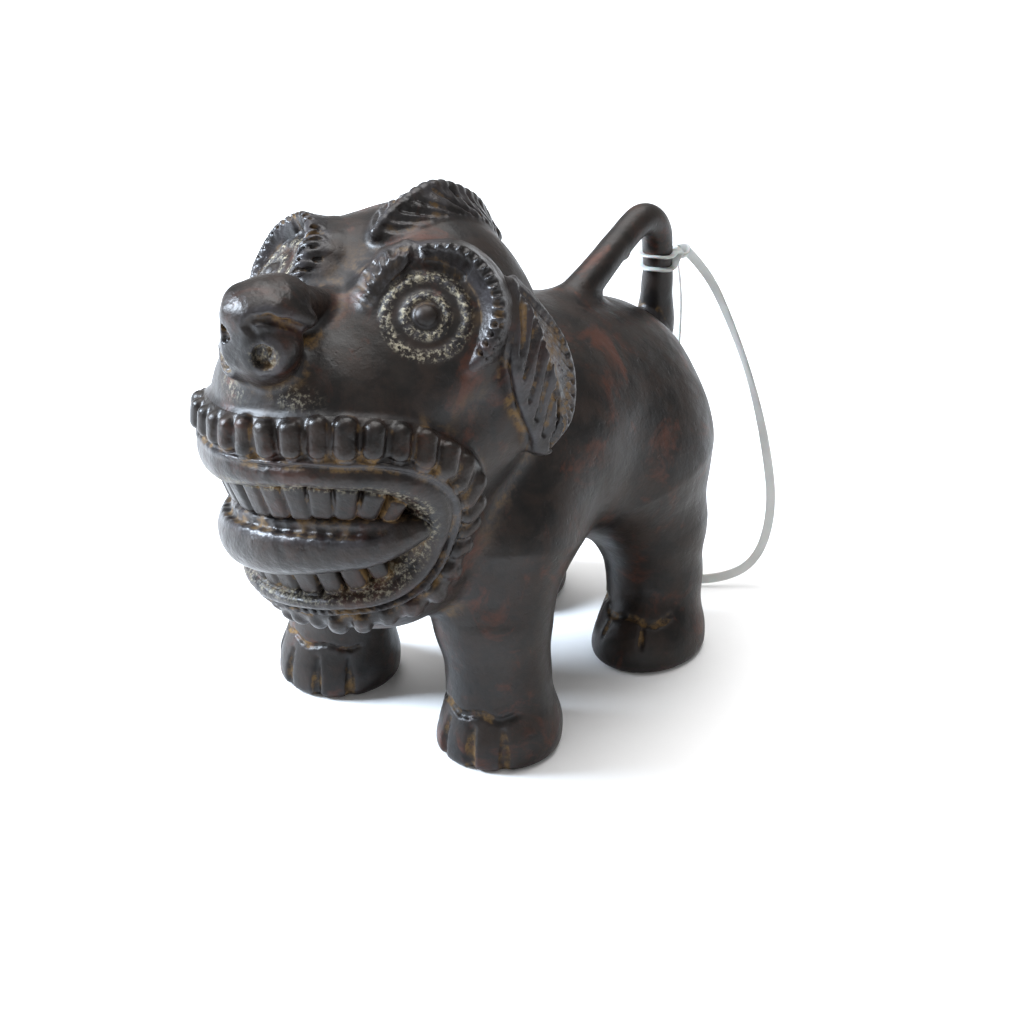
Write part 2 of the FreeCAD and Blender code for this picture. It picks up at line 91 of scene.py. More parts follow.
class Clay:
    """A signed distance field over a box of the shared lattice, true to margin outside its forms."""

    def __init__(self, low, high, margin=2.0):
        self.first = np.floor(np.asarray(low, float) / STEP).astype(int)
        last = np.ceil(np.asarray(high, float) / STEP).astype(int)
        self.shape = last - self.first + 1
        self.field = np.full(self.shape, FAR, np.float32)
        self.margin = margin

    def window(self, low, high):
        """The lattice's slices inside a box."""
        start = np.clip(np.floor(np.asarray(low) / STEP).astype(int) - self.first, 0, self.shape)
        stop = np.clip(np.ceil(np.asarray(high) / STEP).astype(int) + 1 - self.first, 0, self.shape)
        return tuple(slice(a, b) for a, b in zip(start, stop))

    def grid(self, slices):
        """The coordinates in the slices, ready to broadcast."""
        lines = [((self.first[axis] + np.arange(part.start, part.stop)) * STEP).astype(np.float32)
                 for axis, part in enumerate(slices)]
        return np.ix_(*lines)

    def add(self, form, soft=0.0):
        """Lays a form on, with a fillet about as wide as soft."""
        reach = self.margin + soft
        slices = self.window(form.low - reach, form.high + reach)
        self.field[slices] = blend(self.field[slices], form.distance(*self.grid(slices)), soft)
        return self

    def cut(self, form, soft=0.0):
        """Cuts a form away, with edges rounded over about soft."""
        reach = soft + 4 * STEP
        slices = self.window(form.low - reach, form.high + reach)
        self.field[slices] = -blend(-self.field[slices], form.distance(*self.grid(slices)), soft)
        return self

    def rods(self, points, radii, soft=0.0, cut=False):
        """Lays on, or cuts away, rods from point to point, with a radius at each point."""
        lay = self.cut if cut else self.add
        radii = np.broadcast_to(radii, len(points))
        for start, end, first, last in zip(points, points[1:], radii, radii[1:]):
            lay(Rod(start, end, first, last), soft)

    def groove(self, points, out, radius, soft=0.0):
        """Cuts a groove under a line of points, which are dropped onto the surface against out."""
        points = np.asarray(points, float)
        outs = np.broadcast_to(out, points.shape)
        seats = self.hit(points + outs * GROOVE_LIFT, -outs, GROOVE_REACH)
        for start, end in zip(seats, seats[1:]):
            if np.all(np.isfinite(start)) and np.all(np.isfinite(end)):
                self.cut(Rod(start, end, radius), soft)
        return self

    def overlap(self, other):
        """The slices of this clay and of another that cover the same lattice points."""
        low = np.maximum(self.first, other.first)
        high = np.minimum(self.first + self.shape, other.first + other.shape)
        mine = tuple(slice(a, b) for a, b in zip(low - self.first, high - self.first))
        theirs = tuple(slice(a, b) for a, b in zip(low - other.first, high - other.first))
        return mine, theirs

    def merge(self, other, soft=0.0, shrink=0.0):
        """Lays another clay on, shrunk a little, so that its own mesh stays just outside."""
        mine, theirs = self.overlap(other)
        self.field[mine] = blend(self.field[mine], other.field[theirs] + shrink, soft)
        return self

    def carve(self, other, soft=0.0):
        """Cuts another clay away."""
        mine, theirs = self.overlap(other)
        self.field[mine] = -blend(-self.field[mine], other.field[theirs], soft)
        return self

    def mirrored(self):
        """The same clay on the dog's other side."""
        twin = Clay([0, 0, 0], [0, 0, 0], self.margin)
        twin.first = self.first.copy()
        twin.first[0] = -(self.first[0] + self.shape[0] - 1)
        twin.shape = self.shape
        twin.field = self.field[::-1].copy()
        return twin

    def shift(self, move):
        """Moves the clay, to the nearest step of the lattice."""
        self.first = self.first + np.round(np.asarray(move) / STEP).astype(int)
        return self

    def sample(self, points):
        """The distance at points, between the lattice's own by straight lines."""
        at = np.asarray(points, float) / STEP - self.first
        at = np.clip(at, 0, self.shape - 1.001)
        base = np.floor(at).astype(int)
        part = (at - base).astype(np.float32)
        total = np.zeros(len(at), np.float32)
        for i in (0, 1):
            for j in (0, 1):
                for k in (0, 1):
                    weight = (part[:, 0] if i else 1 - part[:, 0]) * (part[:, 1] if j else 1 - part[:, 1])
                    weight *= part[:, 2] if k else 1 - part[:, 2]
                    total += weight * self.field[base[:, 0] + i, base[:, 1] + j, base[:, 2] + k]
        return total

    def normals(self, points, reach=None):
        """The outward direction of the surface at points."""
        reach = reach or STEP
        slope = np.stack([
            self.sample(points + reach * axis) - self.sample(points - reach * axis) for axis in np.eye(3)
        ], axis=1)
        return slope / np.maximum(np.linalg.norm(slope, axis=1, keepdims=True), 1e-9)

    def hit(self, starts, ways, reach=34.0):
        """Where rays from outside first meet the surface, or nan where they miss it."""
        starts = np.atleast_2d(np.asarray(starts, float))
        ways = np.broadcast_to(np.asarray(ways, float), starts.shape)
        runs = np.arange(0, reach, STEP)
        count = len(starts)
        along = starts[:, None, :] + ways[:, None, :] * runs[None, :, None]
        depth = self.sample(along.reshape(-1, 3)).reshape(count, -1)
        inside = depth < 0
        first = np.clip(np.argmax(inside, axis=1), 1, None)
        rows = np.arange(count)
        before, after = depth[rows, first - 1], depth[rows, first]
        share = before / np.maximum(before - after, 1e-6)
        run = runs[first - 1] + share * STEP
        run[~inside.any(axis=1)] = np.nan
        return starts + ways * run[:, None]


def clay_over(node, below, above, margin=2.0):
    """An empty clay over a CAD node's box, with some room past its corners."""
    low, high = corners(node)
    return Clay(low - below, high + above, margin)


def blend(a, b, soft):
    """The nearer of two distances, rounded where they are alike."""
    if soft <= 0:
        return np.minimum(a, b)
    part = np.maximum(soft - np.abs(a - b), 0) / soft
    return np.minimum(a, b) - part * part * (soft / 4)


def smooth_line(points, count):
    """Evenly counted places along a smooth curve through some points."""
    points = np.asarray(points, float)
    padded = np.concatenate([[2 * points[0] - points[1]], points, [2 * points[-1] - points[-2]]])
    at = np.linspace(0, len(points) - 1.0001, count)
    base = np.floor(at).astype(int)
    part = (at - base)[:, None]
    a, b, c, d = (padded[base + shift] for shift in range(4))
    return 0.5 * (2 * b + (c - a) * part + (2 * a - 5 * b + 4 * c - d) * part ** 2
                  + (3 * b - a - 3 * c + d) * part ** 3)


# ---- forms
class Form:
    """A shape about a centre, with the box that it fills."""

    def __init__(self, centre, reach):
        self.centre = np.asarray(centre, float)
        self.low, self.high = self.centre - reach, self.centre + reach

    def along(self, axis, x, y, z):
        """How far places lie from the centre along an axis."""
        x, y, z = x - self.centre[0], y - self.centre[1], z - self.centre[2]
        return x * axis[0] + y * axis[1] + z * axis[2]


class Ball(Form):
    """An ellipsoid, with its own axes when it is turned."""

    def __init__(self, centre, radii, axes=None):
        self.radii = np.ones(3) * radii
        self.axes = np.eye(3) if axes is None else axes
        super().__init__(centre, np.sqrt(((self.axes * self.radii[:, None]) ** 2).sum(axis=0)))

    def distance(self, x, y, z):
        near, far = 0, 0
        for axis, radius in zip(self.axes, self.radii):
            along = self.along(axis, x, y, z) / radius
            near = near + along * along
            far = far + (along / radius) ** 2
        near = np.sqrt(near)
        return near * (near - 1) / np.maximum(np.sqrt(far), 1e-6)


class Rod:
    """A round rod between two points, with a radius at each."""

    def __init__(self, start, end, start_radius, end_radius=None):
        self.start, self.end = np.asarray(start, float), np.asarray(end, float)
        self.radii = (start_radius, start_radius if end_radius is None else end_radius)
        reach = max(self.radii)
        self.low = np.minimum(self.start, self.end) - reach
        self.high = np.maximum(self.start, self.end) + reach

    def distance(self, x, y, z):
        run = self.end - self.start
        dx, dy, dz = x - self.start[0], y - self.start[1], z - self.start[2]
        share = (dx * run[0] + dy * run[1] + dz * run[2]) / max(run @ run, 1e-9)
        share = np.clip(share, 0, 1)
        gap = np.sqrt((dx - share * run[0]) ** 2 + (dy - share * run[1]) ** 2
                      + (dz - share * run[2]) ** 2)
        return gap - (self.radii[0] + share * (self.radii[1] - self.radii[0]))


class Slab(Form):
    """A box with rounded edges and its own axes."""

    def __init__(self, centre, halves, axes, edge):
        self.halves, self.axes, self.edge = np.asarray(halves, float), axes, edge
        super().__init__(centre, np.sqrt(((axes * self.halves[:, None]) ** 2).sum(axis=0)) + edge)

    def distance(self, x, y, z):
        outside, inside = 0, -FAR
        for axis, half in zip(self.axes, self.halves):
            over = np.abs(self.along(axis, x, y, z)) - (half - self.edge)
            outside = outside + np.maximum(over, 0) ** 2
            inside = np.maximum(inside, over)
        return np.sqrt(outside) + np.minimum(inside, 0) - self.edge


class Ring(Form):
    """A round ring about its own axis."""

    def __init__(self, centre, axis, radius, thick):
        self.axis, self.radius, self.thick = axis, radius, thick
        super().__init__(centre, radius * np.sqrt(1 - axis ** 2) + thick)

    def distance(self, x, y, z):
        along = self.along(self.axis, x, y, z)
        x, y, z = x - self.centre[0], y - self.centre[1], z - self.centre[2]
        out = np.sqrt(np.maximum(x * x + y * y + z * z - along * along, 0))
        return np.sqrt((out - self.radius) ** 2 + along * along) - self.thick


def facing(normal, along):
    """Axes whose third is the normal and whose first lies along a direction, as rows."""
    third = unit(normal)
    first = unit(np.asarray(along, float) - third * np.dot(along, third))
    return np.array([first, np.cross(third, first), third])


# ---- unevenness of hand work
def basis(at, count):
    """Weights of a smooth spline over a coarse row of random values."""
    base = np.floor(at).astype(int)
    part = at - base
    weights = np.zeros((len(at), count))
    cubic = [(1 - part) ** 3 / 6, (3 * part ** 3 - 6 * part ** 2 + 4) / 6,
             (-3 * part ** 3 + 3 * part ** 2 + 3 * part + 1) / 6, part ** 3 / 6]
    for shift, weight in enumerate(cubic):
        weights[np.arange(len(at)), np.clip(base + shift, 0, count - 1)] += weight
    return weights


WAVES_ROOM = 12.0
SPLINE_ENDS = 5


class Waves:
    """Smooth random unevenness with one size of lump, the same for every piece."""

    def __init__(self, spacing, height):
        self.spacing, self.height = spacing, height
        self.low = DOG_LOW - WAVES_ROOM
        count = np.ceil((DOG_HIGH - DOG_LOW + 2 * WAVES_ROOM) / spacing).astype(int) + SPLINE_ENDS
        self.values = random.uniform(-1, 1, count)

    def disturb(self, clay):
        """Makes a clay's surface uneven."""
        total = self.values
        for axis in range(3):
            line = (clay.first[axis] + np.arange(clay.shape[axis])) * STEP
            weights = basis((line - self.low[axis]) / self.spacing, self.values.shape[axis])
            total = np.moveaxis(np.tensordot(weights, total, axes=(1, axis)), 0, axis)
        clay.field += (total * self.height).astype(np.float32)


WAVES = [Waves(7.0, 0.45), Waves(2.6, 0.14), Waves(1.2, 0.06)]


# ---- places on the dog
EYE = middle("left_eyeball")
EYE_LOOK = unit([0.507, -0.604, 0.616])
EYE_SIDE = [0.763, 0.647, 0.0]
EYE_AXES = facing(EYE_LOOK, EYE_SIDE)
PAWS = {end: middle(end + "_left_paw") for end in ("front", "hind")}
PAW_TOP = corners("front_left_paw")[1][2]
MOUTH_BACK = -31.8
MOUTH_HIGH = 33.8
MUZZLE_MIDDLE = MOUTH_BACK + 12.0


# ---- the body: trunk, legs and head
# Centre, radii and fillet of each mass, in the order they are laid on.
TRUNK_MASSES = [([0, 4.6, 31.5], [17.2, 18.5, 15.2], 0), ([0, 20.2, 28.2], [14.8, 15.3, 12.9], 7)]
HEAD_MASSES = [([0, -8.6, 47.4], [15.4, 12.9, 15.3], 0), ([0, -10.5, 45.5], [17.4, 8.5, 13.0], 4),
               ([0.4, -18.6, 40.5], [16.4, 16.4, 12.6], 5), ([0, -17.8, 28.2], [14.3, 12.9, 11.8], 6),
               ([0, -22.4, 47.5], [12.2, 11.2, 8.4], 5)]
# Each level of a leg is how far it leans in, how far back, how high and how thick it is.
LEG_LEVELS = {"front": [(0.0, 0.0, 3.5, 6.0), (0.5, 0.0, 9.0, 5.6), (1.7, 0.6, 16.0, 6.5),
                        (3.2, 2.6, 24.0, 9.2)],
              "hind": [(0.0, 0.2, 3.5, 5.6), (0.2, 0.6, 9.0, 5.5), (0.8, 0.4, 16.0, 6.6),
                       (2.0, -1.4, 24.0, 9.0)]}
PAW_BALLS = {"front": ([0, -0.3, 1.4], [6.9, 7.4, 6.6]), "hind": ([1.5, -2.4, 1.2], [6.3, 7.4, 6.3])}
FRONT_RIGHT_IN = 0.5
LEG_FILLET = 6
HEAD_FILLET = 3
BODY_MARGIN = 8


def make_body():
    """Trunk, legs and head in one."""
    body = Clay(DOG_LOW - 3, DOG_HIGH + 3, BODY_MARGIN)
    for centre, radii, soft in TRUNK_MASSES:
        body.add(Ball(centre, radii), soft)
    for side in (1, -1):
        body.merge(make_leg("front", side), LEG_FILLET)
        body.merge(make_leg("hind", side), LEG_FILLET)
    body.merge(make_head(), HEAD_FILLET)
    return body


def paw_place(end, side):
    """Where a paw stands. The front right one stands a little further in."""
    across, back, _ = PAWS[end]
    across -= FRONT_RIGHT_IN if side < 0 and end == "front" else 0
    return np.array([side * across, back, 0])


def make_leg(end, side):
    """A leg and its paw."""
    place = paw_place(end, side)
    centre, radii = PAW_BALLS[end]
    paw = Ball(place + centre, radii)
    leg = Clay(paw.centre - [17, 17, 5], paw.centre + [17, 17, 36], BODY_MARGIN)
    points = [place + [-side * lean, rear, high] for lean, rear, high, _ in LEG_LEVELS[end]]
    leg.rods(points, [thick for *_, thick in LEG_LEVELS[end]], 2)
    leg.add(paw, 2.5)
    return leg


def make_head():
    """Skull, jaws and muzzle in one."""
    head = clay_over("head", 8, 8, BODY_MARGIN)
    for centre, radii, soft in HEAD_MASSES:
        head.add(Ball(centre, radii), soft)
    return head


# ---- the mouth
DROOP_SIDE = 7.5
DROOP_SLOPE = 0.19


def droop(x):
    """How much lower the mouth hangs than on the left cheek: it was modelled a little crooked."""
    return DROOP_SLOPE * np.maximum(DROOP_SIDE - x, 0)


OUTSIDE = 26.0  # where rays start: further out than the head
CHEEK_SIDE = 12.0
CHEEK_POINTS = 240
FRONT_POINTS = 90
ROUNDS = 3  # the droop depends on the place found, so it is looked for again


class Outline:
    """A half ellipse on both cheeks, seen from the side, whose ends run forward round the muzzle."""

    def __init__(self, reach, rise, sink):
        self.reach, self.rise, self.sink = reach, rise, sink

    def gap(self, x, y, z):
        """How far a point lies outside the outline, seen from the side."""
        z = z + droop(x)
        tall = np.where(z > MOUTH_HIGH, self.rise, self.sink)
        back, up = np.maximum(y - MOUTH_BACK, 0) / self.reach, (z - MOUTH_HIGH) / tall
        level = np.sqrt(back ** 2 + up ** 2)
        slope = np.sqrt((back / self.reach) ** 2 + (up / tall) ** 2) / np.maximum(level, 1e-4)
        return (level - 1) / np.maximum(slope, 1e-3)

    def trace(self, skin, side):
        """Points on the skin along one half, from the front of the upper jaw to the lower."""
        turns = np.radians(np.linspace(90, -90, CHEEK_POINTS))
        tall = np.where(turns > 0, self.rise, self.sink)
        y, high = MOUTH_BACK + self.reach * np.cos(turns), MOUTH_HIGH + tall * np.sin(turns)
        still = np.zeros(len(turns))
        cheek = settle(skin, [still, y, high], np.array([side, 0.0, 0.0]), still + side * CHEEK_SIDE)
        found = np.isfinite(cheek[:, 0])
        cheek, high = cheek[found], high[found]
        return np.concatenate([front(skin, cheek[0], high[0]), cheek[1:-1],
                               front(skin, cheek[-1], high[-1])[::-1]])


def front(skin, end, high):
    """Points on the skin at one height, from the middle of the face to an end on the cheek."""
    turns = np.linspace(0, math.atan2(end[0], MUZZLE_MIDDLE - end[1]), FRONT_POINTS)
    out = np.stack([np.sin(turns), -np.cos(turns), 0 * turns], axis=1)
    middles = [0 * turns, 0 * turns + MUZZLE_MIDDLE, 0 * turns + high]
    points = settle(skin, middles, out, np.linspace(0, end[0], FRONT_POINTS))
    return points[np.isfinite(points[:, 0])]


def settle(skin, middles, out, x):
    """Where rays from outside, against out, meet the skin: lowered by the droop at their own x."""
    across, back, high = middles
    for _ in range(ROUNDS):
        points = skin.hit(out * OUTSIDE + np.stack([across, back, high - droop(x)], axis=1), -out)
        x = np.where(np.isfinite(points[:, 0]), points[:, 0], 0)
    return points


CAVITY = Outline(8.0, 7.5, 8.3)
LIP = Outline(9.3, 8.9, 9.2)
CREASE = Outline(11.1, 10.6, 10.5)
FRINGE = Outline(13.6, 13.0, 12.2)
TEETH = Outline(6.3, 5.2, 6.3)


JAWS_MEET = (MOUTH_HIGH - 3, MOUTH_HIGH + 3)
THICKER_FROM = 3.0


def banded(clay, skin, outline, half, height, thicker=0.0, soft=0.4):
    """Lays a rounded band on the skin along an outline.

    half is half the band's width on the lower and the upper jaw, and thicker what the upper one
    gains for each millimetre to the right.
    """
    mine, theirs = clay.overlap(skin)
    x, y, z = clay.grid(mine)
    level = z + droop(x)
    half = np.interp(level, JAWS_MEET, half)
    half = half + thicker * np.maximum(THICKER_FROM - x, 0) * (level > MOUTH_HIGH)
    across = outline.gap(x, y, z) / half
    out = skin.field[theirs] / height
    near = np.sqrt(across ** 2 + out ** 2)
    far = np.sqrt((across / half) ** 2 + (out / height) ** 2)
    distance = near * (near - 1) / np.maximum(far, 1e-4)
    clay.field[mine] = blend(clay.field[mine], np.minimum(distance, FAR).astype(np.float32), soft)
    return clay


def spaced(points, count):
    """Places an even distance apart along a line of points, both ends among them."""
    steps = np.linalg.norm(np.diff(points, axis=0), axis=1)
    along = np.concatenate([[0], np.cumsum(steps)])
    wanted = np.linspace(0, along[-1], count)
    return np.stack([np.interp(wanted, along, points[:, i]) for i in range(3)], axis=1)


CAVITY_DEEP = 2.8


def make_cavity(skin):
    """The hollow of the open mouth, as a clay to cut away."""
    hollow = clay_over("lip_band", 3, 3, margin=3)
    mine, theirs = hollow.overlap(skin)
    x, y, z = hollow.grid(mine)
    depth = skin.field[theirs]
    hollow.field[mine] = np.maximum(CAVITY.gap(x, y, z), -depth - CAVITY_DEEP)
    return hollow


def make_lips(skin):
    """The smooth lip round the mouth and the thin fold outside it."""
    lips = clay_over("lip_band", 4, 4)
    banded(lips, skin, LIP, (1.05, 1.45), 1.35, thicker=0.11)
    banded(lips, skin, CREASE, (0.35, 0.35), 1.3)
    return lips


FRINGE_CURLS = 22
CURL_LEAST = [0.88, 0.9, 0.85]
CURL_MOST = [1.06, 1.08, 1.15]


def make_fringe(skin):
    """The band of curls round the mouth: upright lappets in front, slanted scales at the corners."""
    fringe = clay_over("lip_band", [6, 4, 10], [5, 12, 8], margin=1.6)
    banded(fringe, skin, FRINGE, (1.7, 2.4), 1.0)
    for side in (1, -1):
        line = FRINGE.trace(skin, side)
        places = spaced(line, FRINGE_CURLS)
        runs = np.gradient(places, axis=0)
        outs = skin.normals(places, 1.5)
        for index in range(1 if side < 0 else 0, FRINGE_CURLS - (side < 0)):
            share = index / (FRINGE_CURLS - 1)
            fringe.add(curl(places[index], runs[index], outs[index], share, side), 0.25)
    return fringe


def curl(place, run, out, share, side):
    """One lappet of the fringe; share tells how far round the mouth it is."""
    corner = math.exp(-((share - 0.5) / 0.17) ** 2)
    lower = 1 / (1 + math.exp(-(share - 0.66) * 16))
    axes = facing(out, run)
    slant = side * math.radians(34 * corner - 14 * lower) + random.uniform(-0.07, 0.07)
    first = axes[0] * math.cos(slant) + axes[1] * math.sin(slant)
    long = (2.3 - 0.3 * corner - 0.8 * lower) * (1.0 if side > 0 else 0.85)
    wide = 1.24 - 0.12 * corner
    sizes = np.array([wide, long, 1.5 - 0.2 * lower]) * random.uniform(CURL_LEAST, CURL_MOST)
    return Slab(place + out * 0.35, sizes, facing(out, first), 1.1)


TOOTH_PITCH = 3.2
TOOTH_WIDE = 1.38
TOOTH_DEEP = 1.3
TOOTH_INSET = 1.2
TOOTH_TALL = {"upper": 2.5, "lower": 2.2}
ROW_END = {"upper": 1.4, "lower": -2.0}  # a row ends at this height from MOUTH_HIGH


def make_teeth(skin, jaw):
    """A row of upright bars in the hollow of the mouth."""
    teeth = clay_over(jaw + "_teeth", 5, 5, margin=1.2)
    for side in (1, -1):
        line = TEETH.trace(skin, side)
        rise = line[:, 2] + droop(line[:, 0]) - MOUTH_HIGH
        line = line[rise > ROW_END[jaw]] if jaw == "upper" else line[rise < ROW_END[jaw]][::-1]
        length = np.linalg.norm(np.diff(line, axis=0), axis=1).sum()
        count = int(length / TOOTH_PITCH) + 1
        places = spaced(line, count + 1)[:-1]
        runs = np.gradient(places, axis=0)
        outs = skin.normals(places, 2.0)
        for index in range(1 if side < 0 else 0, count):
            small = 1 - 0.4 * (index / count) ** 2.5
            sizes = np.array([TOOTH_WIDE * small, TOOTH_TALL[jaw] * small, TOOTH_DEEP])
            sizes = sizes * random.uniform(0.94, 1.06, 3)
            axes = facing(outs[index], runs[index])
            teeth.add(Slab(places[index] - outs[index] * TOOTH_INSET, sizes, axes, 0.8), 0.1)
    return teeth


# The tongue's middle line from the left corner to the right, before the droop, and its thickness.
TONGUE_ROUTE = [(14.5, -24.6, 35.0), (11.0, -28.4, 34.0), (5.6, -30.6, 33.2), (0, -31.2, 32.8),
                (-5.0, -30.0, 32.4), (-9.2, -26.8, 32.6), (-12.6, -22.6, 33.4)]
TONGUE_THICK = [1.4, 2.9, 3.5, 3.7, 3.5, 2.8, 1.6]
TONGUE_STEPS = 24
FOLD_RISE = 12


def make_tongue():
    """A thick roll that fills the mouth from corner to corner and swells out in front."""
    tongue = clay_over("tongue", 4, 4, margin=3)
    line = smooth_line([(x, y, z - float(droop(x))) for x, y, z in TONGUE_ROUTE], TONGUE_STEPS)
    thick = np.interp(np.linspace(0, 6, TONGUE_STEPS), range(7), TONGUE_THICK)
    tongue.rods(line, thick, 0.6)
    ways = np.array([unit([x, y - MUZZLE_MIDDLE, FOLD_RISE]) for x, y, _ in line])
    fold = line + ways * thick[:, None]
    tongue.rods(fold[3:-3], 0.16, 1.1, cut=True)
    return tongue


# ---- nose, eyes, locks and crest
NOSTRILS = ((1, 55.6), (-1, 53.6))  # side and height of each
NOSTRIL_SIDE = 3.0
NOSTRIL_FRONT = -35.2
# The crease over each nostril, its heights counted from the nostril's.
NOSE_CREASE = [(2.0, -35.9, 2.7), (1.5, -36.2, 3.3), (1.9, -35.9, 4.0), (3.1, -34.5, 4.0),
               (4.1, -32.8, 3.2), (4.7, -31.2, 2.2)]
NOSTRIL_GRAINS = 9


def make_nose():
    """A blunt nose: a hood over a flat front, rolled wings at the sides and two round nostrils."""
    nose = clay_over("nose", 4, 4, margin=2.5)
    nose.add(Ball([0, -31.4, 59.4], [4.1, 4.5, 2.8]))
    nose.add(Rod([0.2, -29.4, 58.4], [0, -22.0, 55.6], 2.7, 2.0), 1.5)
    nose.add(Slab([-0.4, -33.3, 56.4], [3.0, 2.9, 4.0], np.eye(3), 1.8), 1.2)
    nose.add(Ball([0, -31.6, 52.9], [3.9, 3.6, 2.6]), 1.0)
    for side, level in NOSTRILS:
        nose.add(Ball([side * 2.6, -32.8, level], [2.35, 3.0, 3.3]), 0.8)
        nose.add(Rod([side * 2.5, -33.2, 59.8], [side * 3.9, -29.4, 58.0], 1.3, 0.8), 1.2)
        nose.rods([(side * x, y, level + z) for x, y, z in NOSE_CREASE], 0.5, 0.4, cut=True)
        hole = np.array([side * NOSTRIL_SIDE, NOSTRIL_FRONT, level - 0.1])
        nose.cut(Ball(hole, [1.45, 1.2, 1.45]), 0.35)
        for _ in range(NOSTRIL_GRAINS):
            grain = hole + [0, 0.9, 0] + random.uniform(-0.9, 0.9, 3) * [1, 0.25, 1]
            nose.add(Ball(grain, 0.4), 0.25)
    return nose


def eye_point(angle, radius, height=0.0):
    """A place round the left eye: angle in degrees from the dog's cheek side upwards."""
    turn = math.radians(angle)
    return EYE + EYE_AXES.T @ [radius * math.cos(turn), radius * math.sin(turn), height]


# The right eye and lock hang lower than the left ones: they are moved after mirroring.
RIGHT_EYE_SHIFT = (0.2, -0.8, -1.2)
RIGHT_LOCK_SHIFT = (1.2, 2.0, -3.0)
PUPIL_RING = 2.25
PUPIL_BEADS = 13
RIM_RING = 4.3
RIM_BEADS = 25


def make_eye_mound():
    """The low swelling that the eye sits on."""
    mound = Clay(EYE - 13, EYE + 13, margin=5)
    mound.add(Ball(EYE - 2.3 * EYE_LOOK, [8.2, 8.2, 3.2], EYE_AXES))
    return mound


def make_eyeball():
    """The pupil in its ring."""
    ball = Clay(EYE - 6, EYE + 6, margin=1.5)
    ball.add(Ball(EYE - 0.5 * EYE_LOOK, [2.7, 2.7, 1.7], EYE_AXES))
    ball.add(Ring(EYE + 0.9 * EYE_LOOK, EYE_LOOK, 2.2, 0.5), 0.4)
    for angle in np.arange(PUPIL_BEADS) * 360 / PUPIL_BEADS:
        ball.add(Ball(eye_point(angle, PUPIL_RING, 1.15), 0.42), 0.25)
    ball.add(Ball(EYE + 0.9 * EYE_LOOK, [1.55, 1.55, 1.4], EYE_AXES), 0.2)
    return ball


def make_eye_rim():
    """The outer ring round the eye, beaded by hand."""
    rim = Clay(EYE - 9, EYE + 9, margin=1.5)
    rim.add(Ring(EYE + 0.3 * EYE_LOOK, EYE_LOOK, 4.25, 0.75))
    for angle in np.arange(RIM_BEADS) * 360 / RIM_BEADS:
        radius = RIM_RING + random.uniform(-0.15, 0.15)
        rim.add(Ball(eye_point(angle, radius, 0.7), 0.52), 0.25)
    return rim


def brow_rim(angle, size, rise):
    """Radius and height of the brow's edge at an angle round the eye."""
    radius = np.interp(angle, [-50, 0, 40, 68, 96], [7.0, 7.7, 7.8, 7.8, 7.2])
    height = np.interp(angle, [-50, -20, 20, 70, 96], [-0.6, 1.0, 2.0, 2.2, 1.3])
    return radius * size, height * rise


# The roll of hair beside the nose: angle round the eye, radius, height and thickness.
BROW_ROLL = [(106, 7.3, 0.6, 1.2), (122, 6.9, 0.4, 1.4), (140, 6.5, 0.1, 1.3), (160, 6.3, -0.3, 1.1),
             (182, 6.3, -1.0, 0.9)]
ROLL_STRANDS = 7


def make_brow(size=1.0, rise=1.0, notch=0.28):
    """The brow: a tall thin flange outside the eye and a soft roll of hair towards the nose."""
    brow = clay_over("left_brow", 3, 3)
    for angle in np.arange(-48, 97, 3.0):
        radius, height = brow_rim(angle, size, rise)
        rim = eye_point(angle, radius, height)
        brow.add(Rod(eye_point(angle, min(5.4, radius), -1.6), rim, 1.1, 0.55), 0.5)
        brow.add(Rod(rim, eye_point(angle, radius + 0.7, height - 3.4), 0.55, 1.1), 0.5)
    roll = [(angle, radius * size, height * rise, thick) for angle, radius, height, thick in BROW_ROLL]
    for (a, r, h, thick), (b, q, g, next_thick) in zip(roll, roll[1:]):
        for out, down in ((0, 0), (1, 2)):
            start, end = eye_point(a, r + out, h - down), eye_point(b, q + out, g - down)
            brow.add(Rod(start, end, thick, next_thick), 1.2)
    brow.cut(Rod(eye_point(99, 5.3, 1.2), eye_point(99, 9.4, 0.6), 0.45, 0.6), 0.5)
    for angle in np.arange(-34, 92, 8.5):
        radius, height = brow_rim(angle, size, rise)
        start = eye_point(angle, radius - 0.6, height + 0.6)
        brow.cut(Rod(start, eye_point(angle, radius + 1.4, height - 0.2), notch), 0.2)
    for angle in (52, 61, 70, 79, 88):
        radius, height = brow_rim(angle, size, rise)
        start, end = eye_point(angle, 5.6, 0.2), eye_point(angle - 3, radius - 0.6, height + 0.5)
        brow.cut(Rod(start, end, 0.42, 0.3), 0.3)
    for index in range(ROLL_STRANDS):
        angle = 106 + 9 * index
        start = eye_point(angle + 12, 5.8 * size, 2.1 - 0.12 * index)
        end = eye_point(angle, 8.6 * size, 0.7 - 0.2 * index)
        brow.groove([start, (start + end) / 2, end], EYE_LOOK, 0.34, 0.15)
    return brow


LOCK_RIB = [(14.5, -9.5, 58.4), (17.0, -9.3, 55.4), (18.5, -9.2, 52.4), (19.3, -8.2, 48.6),
            (19.3, -7.0, 43.6), (18.4, -8.0, 39.6)]
LOCK_REAR = [(14.0, -8.3, 58.4), (15.6, -5.9, 54.8), (17.1, -4.1, 50.6), (17.9, -3.3, 46.0),
             (18.1, -4.2, 41.6), (18.0, -7.6, 39.4)]
LOCK_FRONT = [(14.3, -10.0, 57.8), (17.6, -12.4, 54.2), (18.4, -12.9, 50.2), (18.5, -11.8, 46.0),
              (18.4, -10.0, 42.4), (18.2, -8.4, 39.6)]
LOCK_STEPS = 30
STRANDS_STOP = 24  # strands start before this step


